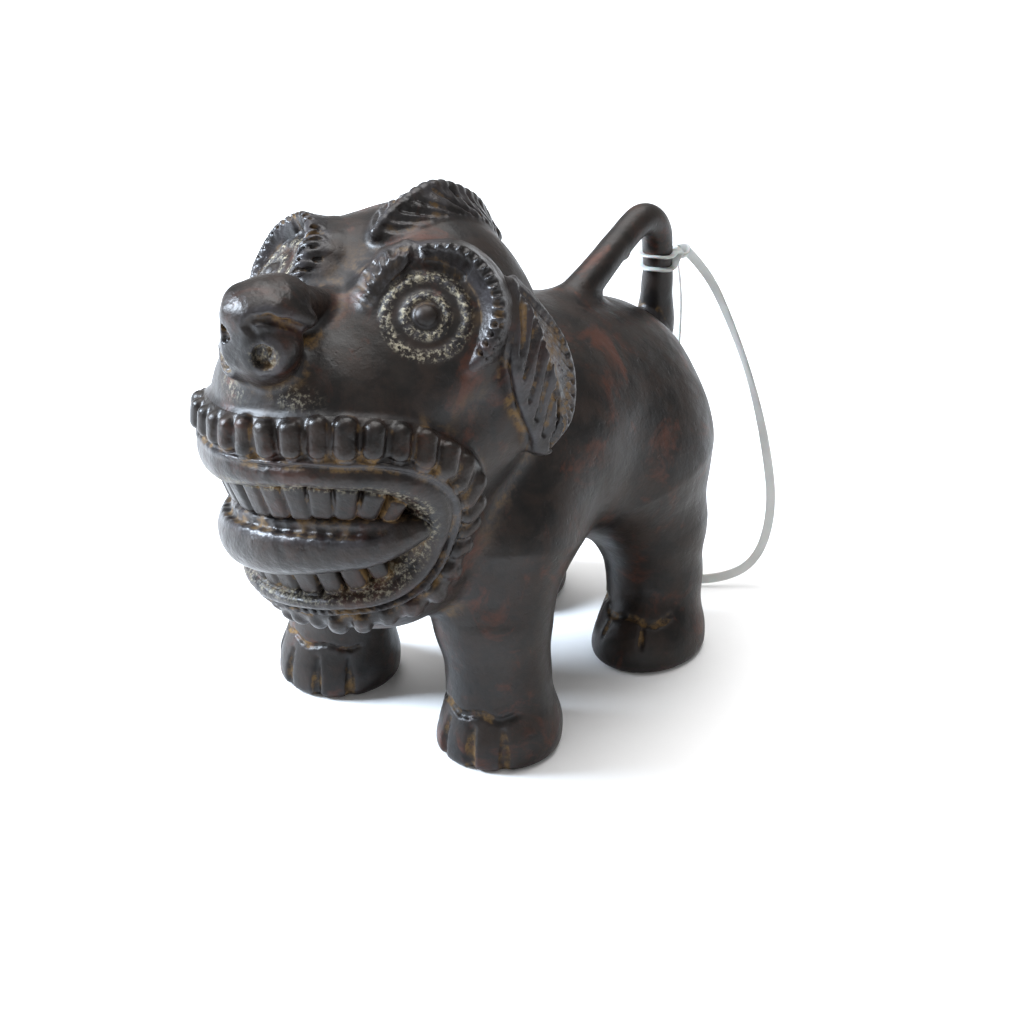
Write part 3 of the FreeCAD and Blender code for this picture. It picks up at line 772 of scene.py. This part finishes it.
def make_lock(skin):
    """The left ear lock: a leaf of hair with a raised rib and long strands to both sides."""
    lock = clay_over("left_ear_lock", 5, 4)
    rib, rear, front = (smooth_line(line, LOCK_STEPS) for line in (LOCK_RIB, LOCK_REAR, LOCK_FRONT))
    outs = skin.normals(rib, 2.0)
    for index in range(LOCK_STEPS):
        lock.add(Rod(rib[index], rear[index], 0.75, 0.6), 0.4)
        lock.add(Rod(rib[index], front[index], 0.75, 0.6), 0.4)
        middle_rear, middle_front = (rib[index] + rear[index]) / 2, (rib[index] + front[index]) / 2
        for top in (rib[index], middle_rear, middle_front):
            lock.add(Rod(top - outs[index], top - outs[index] * 4.5, 0.9, 1.3), 0.8)
    for edge, first, every, slant, radius in ((rear, 1, 2, 9, 0.5), (front, 2, 4, 7, 0.4)):
        for index in range(first, STRANDS_STOP, every):
            last = min(index + slant, LOCK_STEPS - 1)
            strand(lock, rib[index], edge[last], outs[index], outs[last], radius)
    return lock


def strand(clay, start, end, start_out, end_out, radius):
    """A groove from a rib to an edge, bowed a little like hair."""
    start, end = start + start_out, end + end_out
    bow = np.cross(unit(end - start), start_out) * 0.25
    points = [start + (end - start) * share + bow * math.sin(math.pi * share)
              for share in np.linspace(0.08, 0.94, 6)]
    clay.groove(points, unit(start_out + end_out), radius, 0.2)


CREST_RIB = [(0, -14.6, 61.9), (0, -11.5, 63.6), (0, -5.3, 64.3), (0, 0.8, 60.9), (0, 3.8, 56.7),
             (0, 5.0, 55.0)]
CREST_STEPS = 26


def make_crest(skin):
    """The comb on the skull: a leaf with slanted strands down both slopes."""
    crest = clay_over("crest", 4, 3)
    rib = smooth_line(CREST_RIB, CREST_STEPS)
    share = np.linspace(0, 1, CREST_STEPS)
    outs = skin.normals(rib, 2.0)
    seats = skin.hit(rib + outs * 5, -outs)
    wide = 0.5 + 2.7 * np.sin(np.pi * share) ** 0.7
    for index in range(CREST_STEPS):
        crest.add(Rod(rib[index], seats[index] - outs[index], 0.65, 1.0), 0.5)
        for sign in (1, -1):
            foot = seats[index] + np.array([sign * wide[index], 0, 0]) - outs[index] * 0.3
            crest.add(Rod(rib[index], foot, 0.65, 0.8), 0.5)
    for sign in (1, -1):
        for index in range(1, CREST_STEPS - 4, 2):
            foot = seats[index + 4] + np.array([sign * (wide[index + 4] + 0.6), 0, 0])
            out = unit(outs[index] + [sign * 1.2, 0, 0])
            strand(crest, rib[index], foot, out, out, 0.36)
    return crest


# ---- the tail
TAIL_ROUTE = [(0, 35.2, 33.0), (0, 35.3, 37.6), (0, 35.5, 41.8), (0, 34.9, 46.4), (0, 32.0, 48.6),
              (0, 27.6, 46.9), (0, 22.6, 44.2), (0, 18.0, 42.0), (0, 12.8, 40.6)]
TAIL_THICK = [2.3, 1.7, 1.5, 1.55, 1.6, 1.6, 1.75, 2.2, 2.6]
TAIL_STEPS = 40
NIB = Ball([0.3, 28.2, 45.4], [0.7, 0.8, 0.7])


def make_tail():
    """The looped tail, with a small nib under its loop."""
    tail = clay_over("tail", 4, 3, margin=3)
    line = smooth_line(TAIL_ROUTE, TAIL_STEPS)
    shares = np.linspace(0, 1, TAIL_STEPS)
    tail.rods(line, np.interp(shares, np.linspace(0, 1, len(TAIL_THICK)), TAIL_THICK), 0.6)
    tail.add(NIB, 0.6)
    return tail


# ---- toes
TOE_REACH = 14  # rays at a paw start this far from its middle
TOE_SHARES = (1.0, 1.1, 0.9, 0.6)
# Where the grooves are, in degrees from straight ahead, their heights and radius, the crease's level.
TOES = {"front": ((-50, -19, 12, 43), 0.4, 5.2, 0.55, 6.6), "hind": ((-34, -2, 30), 3.2, 5.6, 0.32, 5.9)}


def mark_toes(body):
    """Drop-shaped grooves between the toes and a crease above them."""
    for side in (1, -1):
        for end, (turns, low, high, radius, level) in TOES.items():
            centre = paw_place(end, side)
            for turn in turns:
                way = toe_way(side * turn)
                reach = [centre + [0, 0, z] + way * TOE_REACH for z in np.linspace(low, high, 5)]
                points = body.hit(np.array(reach), -way)
                for start, stop, share in zip(points, points[1:], TOE_SHARES):
                    body.cut(Rod(start, stop, radius * share, radius * share * 0.9), 0.4)
            arc = np.array([toe_way(side * turn) for turn in np.linspace(-62, 58, 14)])
            heights = [level + 0.3 * math.sin(5 * index) for index in range(len(arc))]
            reach = [centre + [0, 0, z] + way * TOE_REACH for way, z in zip(arc, heights)]
            body.rods(body.hit(np.array(reach), -arc), 0.3, 0.45, cut=True)


def toe_way(turn):
    """The level direction at some degrees from straight ahead."""
    return np.array([math.sin(math.radians(turn)), -math.cos(math.radians(turn)), 0])


# ---- sculpting
# Fillets under the laid-on pieces, by the last word of their names, in millimetres.
SOFT = {"tail": 2.0, "nose": 1.6, "lock": 1.0, "teeth": 0.3, "tongue": 0.4}
OTHER_SOFT = 0.8
EYE_PARTS = ("eyeball", "eye_rim", "brow")
GROUND = Slab([0, 0, -20], [60, 70, 20], np.eye(3), 0.01)


def sculpt():
    """The body with everything laid on it, and each laid-on piece by its CAD name."""
    body = make_body()
    body.merge(make_eye_mound(), 4)
    body.merge(make_eye_mound().mirrored().shift(RIGHT_EYE_SHIFT), 4)
    pieces = {"lip_band": make_lips(body), "mouth_fringe": make_fringe(body), "tongue": make_tongue(),
              "upper_teeth": make_teeth(body, "upper"), "lower_teeth": make_teeth(body, "lower"),
              "nose": make_nose(), "crest": make_crest(body), "tail": make_tail()}
    paired = {"eyeball": make_eyeball(), "eye_rim": make_eye_rim(), "brow": make_brow(),
              "ear_lock": make_lock(body)}
    for name, clay in paired.items():
        pieces["left_" + name] = clay
        pieces["right_" + name] = clay.mirrored()
    pieces["right_brow"] = make_brow(0.94, 0.75, 0.12).mirrored()
    for name in EYE_PARTS:
        pieces["right_" + name].shift(RIGHT_EYE_SHIFT)
    pieces["right_ear_lock"].shift(RIGHT_LOCK_SHIFT)
    body.carve(make_cavity(body), 0.5)
    mark_toes(body)
    for name, clay in pieces.items():
        body.merge(clay, SOFT.get(name.split("_")[-1], OTHER_SOFT), 0.1)
    for waves in WAVES:
        for clay in [body, *pieces.values()]:
            waves.disturb(clay)
    body.cut(GROUND, 1.0)
    return body, pieces


# ---- meshing and shading data
def polygons(clay):
    """The clay's surface: points in millimetres, and faces with their outside outwards."""
    grid = openvdb.FloatGrid(FAR)
    grid.copyFromArray(clay.field)
    points, _, quads = grid.convertToPolygons(0.0, 0.0)
    points = (points + clay.first) * STEP
    a, b, c = (points[quads[:, i]] for i in range(3))
    if np.einsum("ij,ij->i", a, np.cross(b, c)).sum() < 0:
        quads = quads[:, ::-1]
    gap = np.clip(clay.sample(points), -STEP / 2, STEP / 2)
    return points - clay.normals(points) * gap[:, None], quads


NEAR, FURTHER, UNDER = 0.7, 2.4, 0.8  # how far off the surface the metal is felt for
CRUST_RINGS = ((PUPIL_RING, 0.6), (4.4, 0.75))  # radius and width of each ring of crust on the eye
NOSTRIL_CRUST = 1.7
UNDER_NOSE = np.array([5.0, -33.0, 50.4])
UNDER_NOSE_SIZE = np.array([4.5, 3.0, 1.8])


def shading(points, normals, body):
    """Per point: how hollow the metal is close by and further off, how sharp, and how crusted."""
    open_near = body.sample(points + normals * NEAR) / NEAR
    open_far = body.sample(points + normals * FURTHER) / FURTHER
    full = -body.sample(points - normals * UNDER) / UNDER
    crust = np.zeros(len(points))
    for side, level in NOSTRILS:
        place = points if side > 0 else (points - RIGHT_EYE_SHIFT) * MIRROR
        from_eye = place - EYE
        along = from_eye @ EYE_LOOK
        out = np.linalg.norm(from_eye - along[:, None] * EYE_LOOK, axis=1)
        for radius, width in CRUST_RINGS:
            crust = np.maximum(crust, np.exp(-((out - radius) / width) ** 2) * (along > -2.5))
        nostril = np.linalg.norm(points - [side * NOSTRIL_SIDE, NOSTRIL_FRONT, level], axis=1)
        crust = np.maximum(crust, np.exp(-(nostril / NOSTRIL_CRUST) ** 2))
        under = np.linalg.norm((place - UNDER_NOSE) / UNDER_NOSE_SIZE, axis=1)
        crust = np.maximum(crust, 0.6 * np.exp(-under ** 2))
    mouth = np.exp(-(CAVITY.gap(*points.T) / 0.9) ** 2) * (points[:, 1] < MUZZLE_MIDDLE)
    crust = np.maximum(crust, 0.6 * mouth)
    return {"near": np.clip(1 - open_near, 0, 1), "far": np.clip(1 - open_far, 0, 1),
            "edge": np.clip(1 - full, 0, 1), "crust": crust}


def placed(name, data):
    """A new object, in the scene."""
    thing = bpy.data.objects.new(name, data)
    bpy.context.scene.collection.objects.link(thing)
    return thing


def build(node, points, faces, normals, data, material):
    """The Blender piece that stands for a CAD node, in its place in the frame."""
    name = node + "_cast"
    mesh = bpy.data.meshes.new(name)
    mesh.from_pydata((points * MM).tolist(), [], faces)
    mesh.shade_smooth()
    mesh.normals_split_custom_set_from_vertices(normals.tolist())
    for key, values in data.items():
        layer = mesh.attributes.new(key, "FLOAT", "POINT")
        layer.data.foreach_set("value", np.ascontiguousarray(values, np.float32))
    piece = placed(name, mesh)
    mesh.materials.append(material)
    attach(piece, "root")
    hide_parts(node)
    return piece


def cast(node, clay, body, material):
    """Makes the Blender piece of a clay and puts it in the frame."""
    points, faces = polygons(clay)
    normals = clay.normals(points)
    data = shading(points, normals, body)
    return build(node, points, faces.tolist(), normals, data, material)


HEAD_SPLIT = 36.8
LEG_SPLIT = 8.0
LEGS_MIDDLE = (PAWS["front"][1] + PAWS["hind"][1]) / 2
LIMBS = ["front_left_", "front_right_", "hind_left_", "hind_right_"]
BODY_PARTS = ["trunk", "head"] + [limb + "leg" for limb in LIMBS] + [limb + "paw" for limb in LIMBS]


def body_part(places):
    """The number of the body's part that each place belongs to."""
    x, y, z = places.T
    part = np.zeros(len(places), int)
    head = z - y > HEAD_SPLIT
    part[head] = 1
    leg = ~head & (z < LEG_SPLIT + 0.9 * np.abs(x))
    number = 2 + 2 * (y > LEGS_MIDDLE) + (x < 0)
    part[leg] = number[leg]
    paw = leg & (z < PAW_TOP)
    part[paw] += 4
    return part


def capped(faces, points):
    """Fans that close every open rim, and the new points in the rims' middles."""
    starts, ends = faces.ravel(), np.roll(faces, -1, axis=1).ravel()
    size = len(points)
    keys, back = starts.astype(np.int64) * size + ends, ends.astype(np.int64) * size + starts
    rim = ~np.isin(back, keys)
    follow = dict(zip(starts[rim].tolist(), ends[rim].tolist()))
    caps, centres = [], []
    while follow:
        first, at = follow.popitem()
        loop = [first]
        while at != first and at in follow:
            loop.append(at)
            at = follow.pop(at)
        centre = size + len(centres)
        centres.append(points[loop].mean(axis=0))
        caps += [[end, start, centre] for start, end in zip(loop, loop[1:] + loop[:1])]
    return caps, centres


def cast_body(body, material):
    """Meshes the body once and parts it into the pieces that the wax model was made of."""
    points, faces = polygons(body)
    normals = body.normals(points)
    data = shading(points, normals, body)
    part = body_part(points[faces].mean(axis=1))
    for number, node in enumerate(BODY_PARTS):
        used, own_faces = np.unique(faces[part == number], return_inverse=True)
        own_faces = own_faces.reshape(-1, 4)
        caps, centres = capped(own_faces, points[used])
        count = len(centres)
        own = np.concatenate([points[used], np.reshape(centres, (-1, 3))])
        own_normals = np.concatenate([normals[used], np.tile([0.0, 0.0, 1.0], (count, 1))])
        own_data = {key: np.concatenate([values[used], np.zeros(count)]) for key, values in data.items()}
        build(node, own, own_faces.tolist() + caps, own_normals, own_data, material)


# ---- materials
class Graph:
    """A material's nodes, with short words for the ones used here."""

    def __init__(self, name):
        self.material = bpy.data.materials.new(name)
        self.material.use_nodes = True
        self.tree = self.material.node_tree
        self.shader = self.tree.nodes["Principled BSDF"]
        self.place = self.node("ShaderNodeTexCoord").outputs["Object"]

    def node(self, kind, **settings):
        """A new node with some of its settings."""
        node = self.tree.nodes.new(kind)
        for key, value in settings.items():
            setattr(node, key, value)
        return node

    def feed(self, socket, value):
        """Links or sets a node's input."""
        if isinstance(value, bpy.types.NodeSocket):
            self.tree.links.new(value, socket)
        else:
            socket.default_value = value

    def attribute(self, name):
        """A number held at each point of the mesh."""
        return self.node("ShaderNodeAttribute", attribute_name=name).outputs["Fac"]

    def noise(self, size, detail=3.0, rough=0.5, twist=0.0):
        """Noise whose lumps are about size millimetres across."""
        node = self.node("ShaderNodeTexNoise")
        self.feed(node.inputs["Vector"], self.place)
        settings = {"Scale": 1 / (size * MM), "Detail": detail, "Roughness": rough, "Distortion": twist}
        for key, value in settings.items():
            node.inputs[key].default_value = value
        return node.outputs["Fac"]

    def span(self, value, low, high, to_low=0.0, to_high=1.0):
        """The value, eased from one range into another."""
        node = self.node("ShaderNodeMapRange", interpolation_type="SMOOTHSTEP")
        keys = ("Value", "From Min", "From Max", "To Min", "To Max")
        for key, item in zip(keys, (value, low, high, to_low, to_high)):
            self.feed(node.inputs[key], item)
        return node.outputs["Result"]

    def maths(self, operation, first, second=0.0):
        """A sum kept between 0 and 1, or a product."""
        node = self.node("ShaderNodeMath", operation=operation, use_clamp=operation in ("ADD", "SUBTRACT"))
        self.feed(node.inputs[0], first)
        self.feed(node.inputs[1], second)
        return node.outputs[0]

    def both(self, first, second):
        """Where both hold: their product."""
        return self.maths("MULTIPLY", first, second)

    def mix(self, share, first, second):
        """A colour between two."""
        node = self.node("ShaderNodeMix", data_type="RGBA")
        self.feed(node.inputs["Factor"], share)
        for socket, colour in ((node.inputs[6], first), (node.inputs[7], second)):
            self.feed(socket, (*colour, 1) if isinstance(colour, tuple) else colour)
        return node.outputs[2]

    def blend(self, share, first, second):
        """A number between two."""
        node = self.node("ShaderNodeMix", data_type="FLOAT")
        for socket, value in zip(node.inputs[:1] + node.inputs[2:4], (share, first, second)):
            self.feed(socket, value)
        return node.outputs[0]

    def bump(self, height, strength, distance, under=None):
        """A normal with relief of some millimetres on it."""
        node = self.node("ShaderNodeBump")
        self.feed(node.inputs["Height"], height)
        node.inputs["Strength"].default_value = strength
        node.inputs["Distance"].default_value = distance * MM
        if under:
            self.feed(node.inputs["Normal"], under)
        return node.outputs["Normal"]

    def finish(self, colour, rough, normal):
        """Wires the shader, and gives the material."""
        self.feed(self.shader.inputs["Base Color"], colour)
        self.feed(self.shader.inputs["Roughness"], rough)
        self.feed(self.shader.inputs["Normal"], normal)
        return self.material


METALLIC = 0.1
SPECULAR = 0.31
NEAR_BLACK = (0.006, 0.0048, 0.0044)
UMBER = (0.017, 0.010, 0.0072)
SHEEN = (0.026, 0.021, 0.018)
RED_BROWN = (0.060, 0.018, 0.009)
OCHRE = (0.150, 0.090, 0.034)
CRUST = (0.30, 0.27, 0.20)
CRUST_DARK = (0.09, 0.072, 0.05)
STEEL = (0.050, 0.050, 0.056)


def bronze(name, red=0.85, ochre=1.0, crust=1.0, steel=0.4, polish=0.0, lumps=0.16):
    """Dark patina, rubbed on the high places, with red-brown patches, ochre dirt and pale crust."""
    graph = Graph(name)
    near, far, edge, crusted = (graph.attribute(key) for key in ("near", "far", "edge", "crust"))
    broad = graph.noise(9.0, 4, 0.6)
    middling = graph.noise(3.2, 5, 0.62, 0.3)
    fine = graph.noise(0.8, 5, 0.65)
    grit = graph.noise(0.4, 4, 0.7)
    colour = graph.mix(graph.span(middling, 0.35, 0.66), NEAR_BLACK, UMBER)
    colour = graph.mix(graph.both(graph.span(broad, 0.42, 0.7), 0.5), colour, SHEEN)
    patches = graph.both(graph.span(graph.noise(6.5, 5, 0.7, 0.6), 0.52, 0.70), red)
    colour = graph.mix(patches, colour, RED_BROWN)
    worn = graph.both(graph.span(edge, 0.12, 0.5), graph.span(middling, 0.3, 0.6))
    colour = graph.mix(graph.both(worn, steel), colour, STEEL)
    hollow = graph.maths("ADD", near, graph.both(far, 0.45))
    dirt = graph.both(graph.span(hollow, 0.25, 0.75), graph.span(middling, 0.46, 0.62))
    dirt = graph.both(graph.both(dirt, graph.span(fine, 0.3, 0.6)), ochre)
    colour = graph.mix(dirt, colour, OCHRE)
    specks = graph.span(graph.maths("ADD", fine, graph.both(grit, 0.5)), 0.70, 0.92)
    pale = graph.both(graph.both(graph.span(crusted, 0.2, 0.9), specks), crust)
    colour = graph.mix(pale, colour, graph.mix(graph.span(grit, 0.4, 0.62), CRUST_DARK, CRUST))
    rough = graph.span(middling, 0.3, 0.7, 0.36 - polish, 0.48 - polish)
    rough = graph.blend(graph.both(worn, 0.6), rough, 0.33 - polish)
    rough = graph.blend(graph.maths("ADD", dirt, pale), rough, 0.8)
    normal = graph.bump(graph.noise(1.9, 3, 0.5), 0.6, lumps)
    relief = graph.maths("ADD", graph.both(fine, 0.6), graph.both(grit, graph.maths("ADD", pale, 0.15)))
    normal = graph.bump(relief, 0.5, 0.12, normal)
    pits = graph.span(graph.noise(1.1, 2, 0.4), 0.27, 0.33)
    normal = graph.bump(pits, 0.2, 0.1, normal)
    graph.shader.inputs["Metallic"].default_value = METALLIC
    graph.shader.inputs["Specular IOR Level"].default_value = SPECULAR
    return graph.finish(colour, rough, normal)


TAPE_DULL = (0.50, 0.52, 0.50)
TAPE_CLEAR = (0.68, 0.70, 0.68)


def tape():
    """Milky, slightly see-through plastic ribbon."""
    graph = Graph("milky_tape")
    haze = graph.noise(2.5, 3, 0.5)
    colour = graph.mix(haze, TAPE_DULL, TAPE_CLEAR)
    graph.shader.inputs["Transmission Weight"].default_value = 0.35
    graph.shader.inputs["Subsurface Weight"].default_value = 0.2
    graph.shader.inputs["Subsurface Scale"].default_value = 0.0006
    rough = graph.span(haze, 0.3, 0.7, 0.28, 0.42)
    return graph.finish(colour, rough, graph.bump(graph.noise(0.5, 2), 0.2, 0.03))


def floor_finish():
    """Plain pale paper."""
    graph = Graph("paper_sweep")
    grain = graph.noise(3.0, 4, 0.6)
    colour = graph.mix(grain, (0.90, 0.90, 0.90), (0.92, 0.92, 0.92))
    return graph.finish(colour, graph.span(grain, 0.3, 0.7, 0.55, 0.65), graph.bump(grain, 0.05, 0.02))


# ---- the tag string
STRING_ROUTE = [(1.8, 39.0, 42.6), (3.4, 41.0, 39.8), (6.0, 42.4, 33.6), (9.0, 43.2, 26.2),
                (11.6, 43.4, 17.6), (13.2, 43.2, 9.0), (12.8, 40.6, 2.4), (9.6, 35.8, 0.8),
                (3.8, 32.6, 0.9), (-2.4, 35.2, 0.8), (-4.9, 41.0, 1.2), (-5.4, 44.4, 8.2),
                (-4.4, 44.9, 19.4), (-2.8, 43.8, 31.2), (-1.2, 41.4, 38.6), (0.2, 39.1, 41.6)]
POINT_RADIUS = 0.001  # a curve's box reaches this far past its points, and its section scales by it
STRING_WIDE = 1.2
STRING_THICK = 0.3
STRING_TILT = [0, 20, 45, 60, 20, 0, -10, 0, 0, 0, 10, 40, 60, 45, 20, 0]


def ribbon(name, points, tilts, closed=False):
    """A flat tape along a smooth line."""
    curve = bpy.data.curves.new(name, "CURVE")
    curve.dimensions = "3D"
    curve.bevel_depth = STRING_THICK / 2 * MM / POINT_RADIUS
    curve.extrude = (STRING_WIDE - STRING_THICK) / 2 * MM / POINT_RADIUS
    curve.bevel_resolution = 3
    curve.resolution_u = 10
    spline = curve.splines.new("NURBS")
    spline.points.add(len(points) - 1)
    for point, place, tilt in zip(spline.points, points, tilts):
        point.co = (*(value * MM for value in place), 1)
        point.tilt = math.radians(tilt)
        point.radius = POINT_RADIUS
    spline.order_u = 3
    spline.use_endpoint_u = not closed
    spline.use_cyclic_u = closed
    piece = placed(name, curve)
    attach(piece, "root")
    return piece


KNOT = np.array([1.0, 38.4, 42.6])
KNOT_SIZE = 1.1
TAIL_BACK = 35.45
WRAP_RADIUS = 1.95
WRAP_LEVELS = (41.7, 43.3)
WRAP_TURNS = np.radians(np.linspace(-125, 125, 9))
ON_EDGE = 90


def make_hitch():
    """The tape twice round the tail, and the knot that ties it."""
    pieces = []
    for index, level in enumerate(WRAP_LEVELS):
        round_tail = [(WRAP_RADIUS * math.sin(turn), TAIL_BACK - WRAP_RADIUS * math.cos(turn),
                       level + 0.15 * math.sin(3 * turn)) for turn in WRAP_TURNS]
        points = [KNOT + [-0.4, -0.6, 0]] + round_tail + [KNOT + [0.4, -0.6, 0.2]]
        pieces.append(ribbon("tag_string_wrap_%d" % (index + 1), points, [ON_EDGE] * len(points)))
    turns = np.linspace(0, 2 * math.pi, 24, endpoint=False)
    loops = np.stack([np.sin(turns) + 2 * np.sin(2 * turns), np.cos(turns) - 2 * np.cos(2 * turns),
                      -np.sin(3 * turns)], axis=1)
    points = KNOT + loops * KNOT_SIZE / 3
    pieces.append(ribbon("tag_string_knot", points, 40 * np.sin(turns), closed=True))
    return pieces


def make_string(material):
    """The loop of tape, tied to the tail."""
    string = ribbon("tag_string_loop", STRING_ROUTE, STRING_TILT)
    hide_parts("tag_string")
    hitch = make_hitch()
    for piece in hitch:
        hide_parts("tag_string_hitch")
    for piece in [string, *hitch]:
        piece.data.materials.append(material)


# ---- everything in its place
def main():
    """Sculpts the dog, meshes and finishes every piece, and ties the string on."""
    body, pieces = sculpt()
    skin_metal = bronze("patinated_bronze")
    relief_metal = bronze("rubbed_bronze", red=0.45, ochre=0.85, steel=0.5, polish=0.07, lumps=0.42)
    eye_metal = bronze("crusted_bronze", red=0.2, ochre=0.6, crust=1.0, steel=0.6)
    teeth_metal = bronze("teeth_bronze", red=0.3, ochre=1.3, crust=1.6, steel=0.1, polish=0.03,
                         lumps=0.35)
    cast_body(body, skin_metal)
    finishes = {"eyeball": ("bronze_eye", eye_metal), "rim": ("bronze_eye", eye_metal),
                "teeth": ("bronze_teeth", teeth_metal), "tail": ("bronze_skin", skin_metal)}
    for node, clay in pieces.items():
        slot, material = finishes.get(node.split("_")[-1], ("bronze_relief", relief_metal))
        cast(node, clay, body, material)
    make_string(tape())


# ---- camera, light and floor
CAMERA_TURN, CAMERA_RISE = 40.3, 28.1  # degrees, from straight ahead and from level
CAMERA_DISTANCE = 0.380
CAMERA_TARGET = (0, 0.0081, 0.0186)
SENSOR, LENS = 36, 112.2
LIT_PLACE = (0, 0, 0.03)
WHITE = (1, 1, 1)
COOL = (0.76, 0.87, 1.0)
# Name, place, size, power and tint of each soft lamp.
SOFT_LAMPS = [("key", (-0.38, -0.26, 0.30), 0.20, 9.0, COOL), ("top", (-0.10, 0.15, 0.60), 0.45, 2.5, WHITE),
              ("fill", (0.45, -0.35, 0.25), 0.5, 0.3, WHITE)]
SKY_POWER, SKY_ANGLE = 1.7, 1.2
SKY_WAY = (-0.3, 0.2, 1.0)
WORLD_POWER = 0.4
FLOOR_HALF = 3


def aim(thing, way):
    """Turns a lamp or a camera to look against a direction."""
    thing.rotation_euler = Vector(way).to_track_quat("Z", "Y").to_euler()


def make_camera():
    """The camera, at the photograph's angle."""
    turn, rise = math.radians(CAMERA_TURN), math.radians(CAMERA_RISE)
    back = Vector((math.sin(turn) * math.cos(rise), -math.cos(turn) * math.cos(rise), math.sin(rise)))
    camera = placed("camera", bpy.data.cameras.new("camera"))
    camera.data.sensor_width = SENSOR
    camera.data.lens = LENS
    camera.data.clip_start = 0.01
    camera.location = Vector(CAMERA_TARGET) + back * CAMERA_DISTANCE
    aim(camera, back)
    bpy.context.scene.camera = camera


def make_lamps():
    """Three soft lamps and a wide sun."""
    for name, place, size, power, tint in SOFT_LAMPS:
        light = bpy.data.lights.new(name, "AREA")
        light.size, light.energy, light.color = size, power, tint
        lamp = placed(name, light)
        lamp.location = place
        aim(lamp, Vector(place) - Vector(LIT_PLACE))
    sky = bpy.data.lights.new("sky", "SUN")
    sky.energy, sky.angle = SKY_POWER, SKY_ANGLE
    aim(placed("sky", sky), SKY_WAY)


def make_studio():
    """Camera, lamps, white surroundings and a pale floor."""
    make_camera()
    make_lamps()
    world = bpy.data.worlds.new("world")
    bpy.context.scene.world = world
    world.use_nodes = True
    background = world.node_tree.nodes["Background"].inputs
    background["Color"].default_value = (*WHITE, 1)
    background["Strength"].default_value = WORLD_POWER
    bpy.context.scene.view_settings.view_transform = "Standard"
    mesh = bpy.data.meshes.new("floor")
    rim = [(-1, -1), (1, -1), (1, 1), (-1, 1)]
    mesh.from_pydata([(x * FLOOR_HALF, y * FLOOR_HALF, 0) for x, y in rim], [], [(0, 1, 2, 3)])
    mesh.materials.append(floor_finish())
    placed("floor", mesh)


make_studio()
main()
bpy.context.view_layer.update()
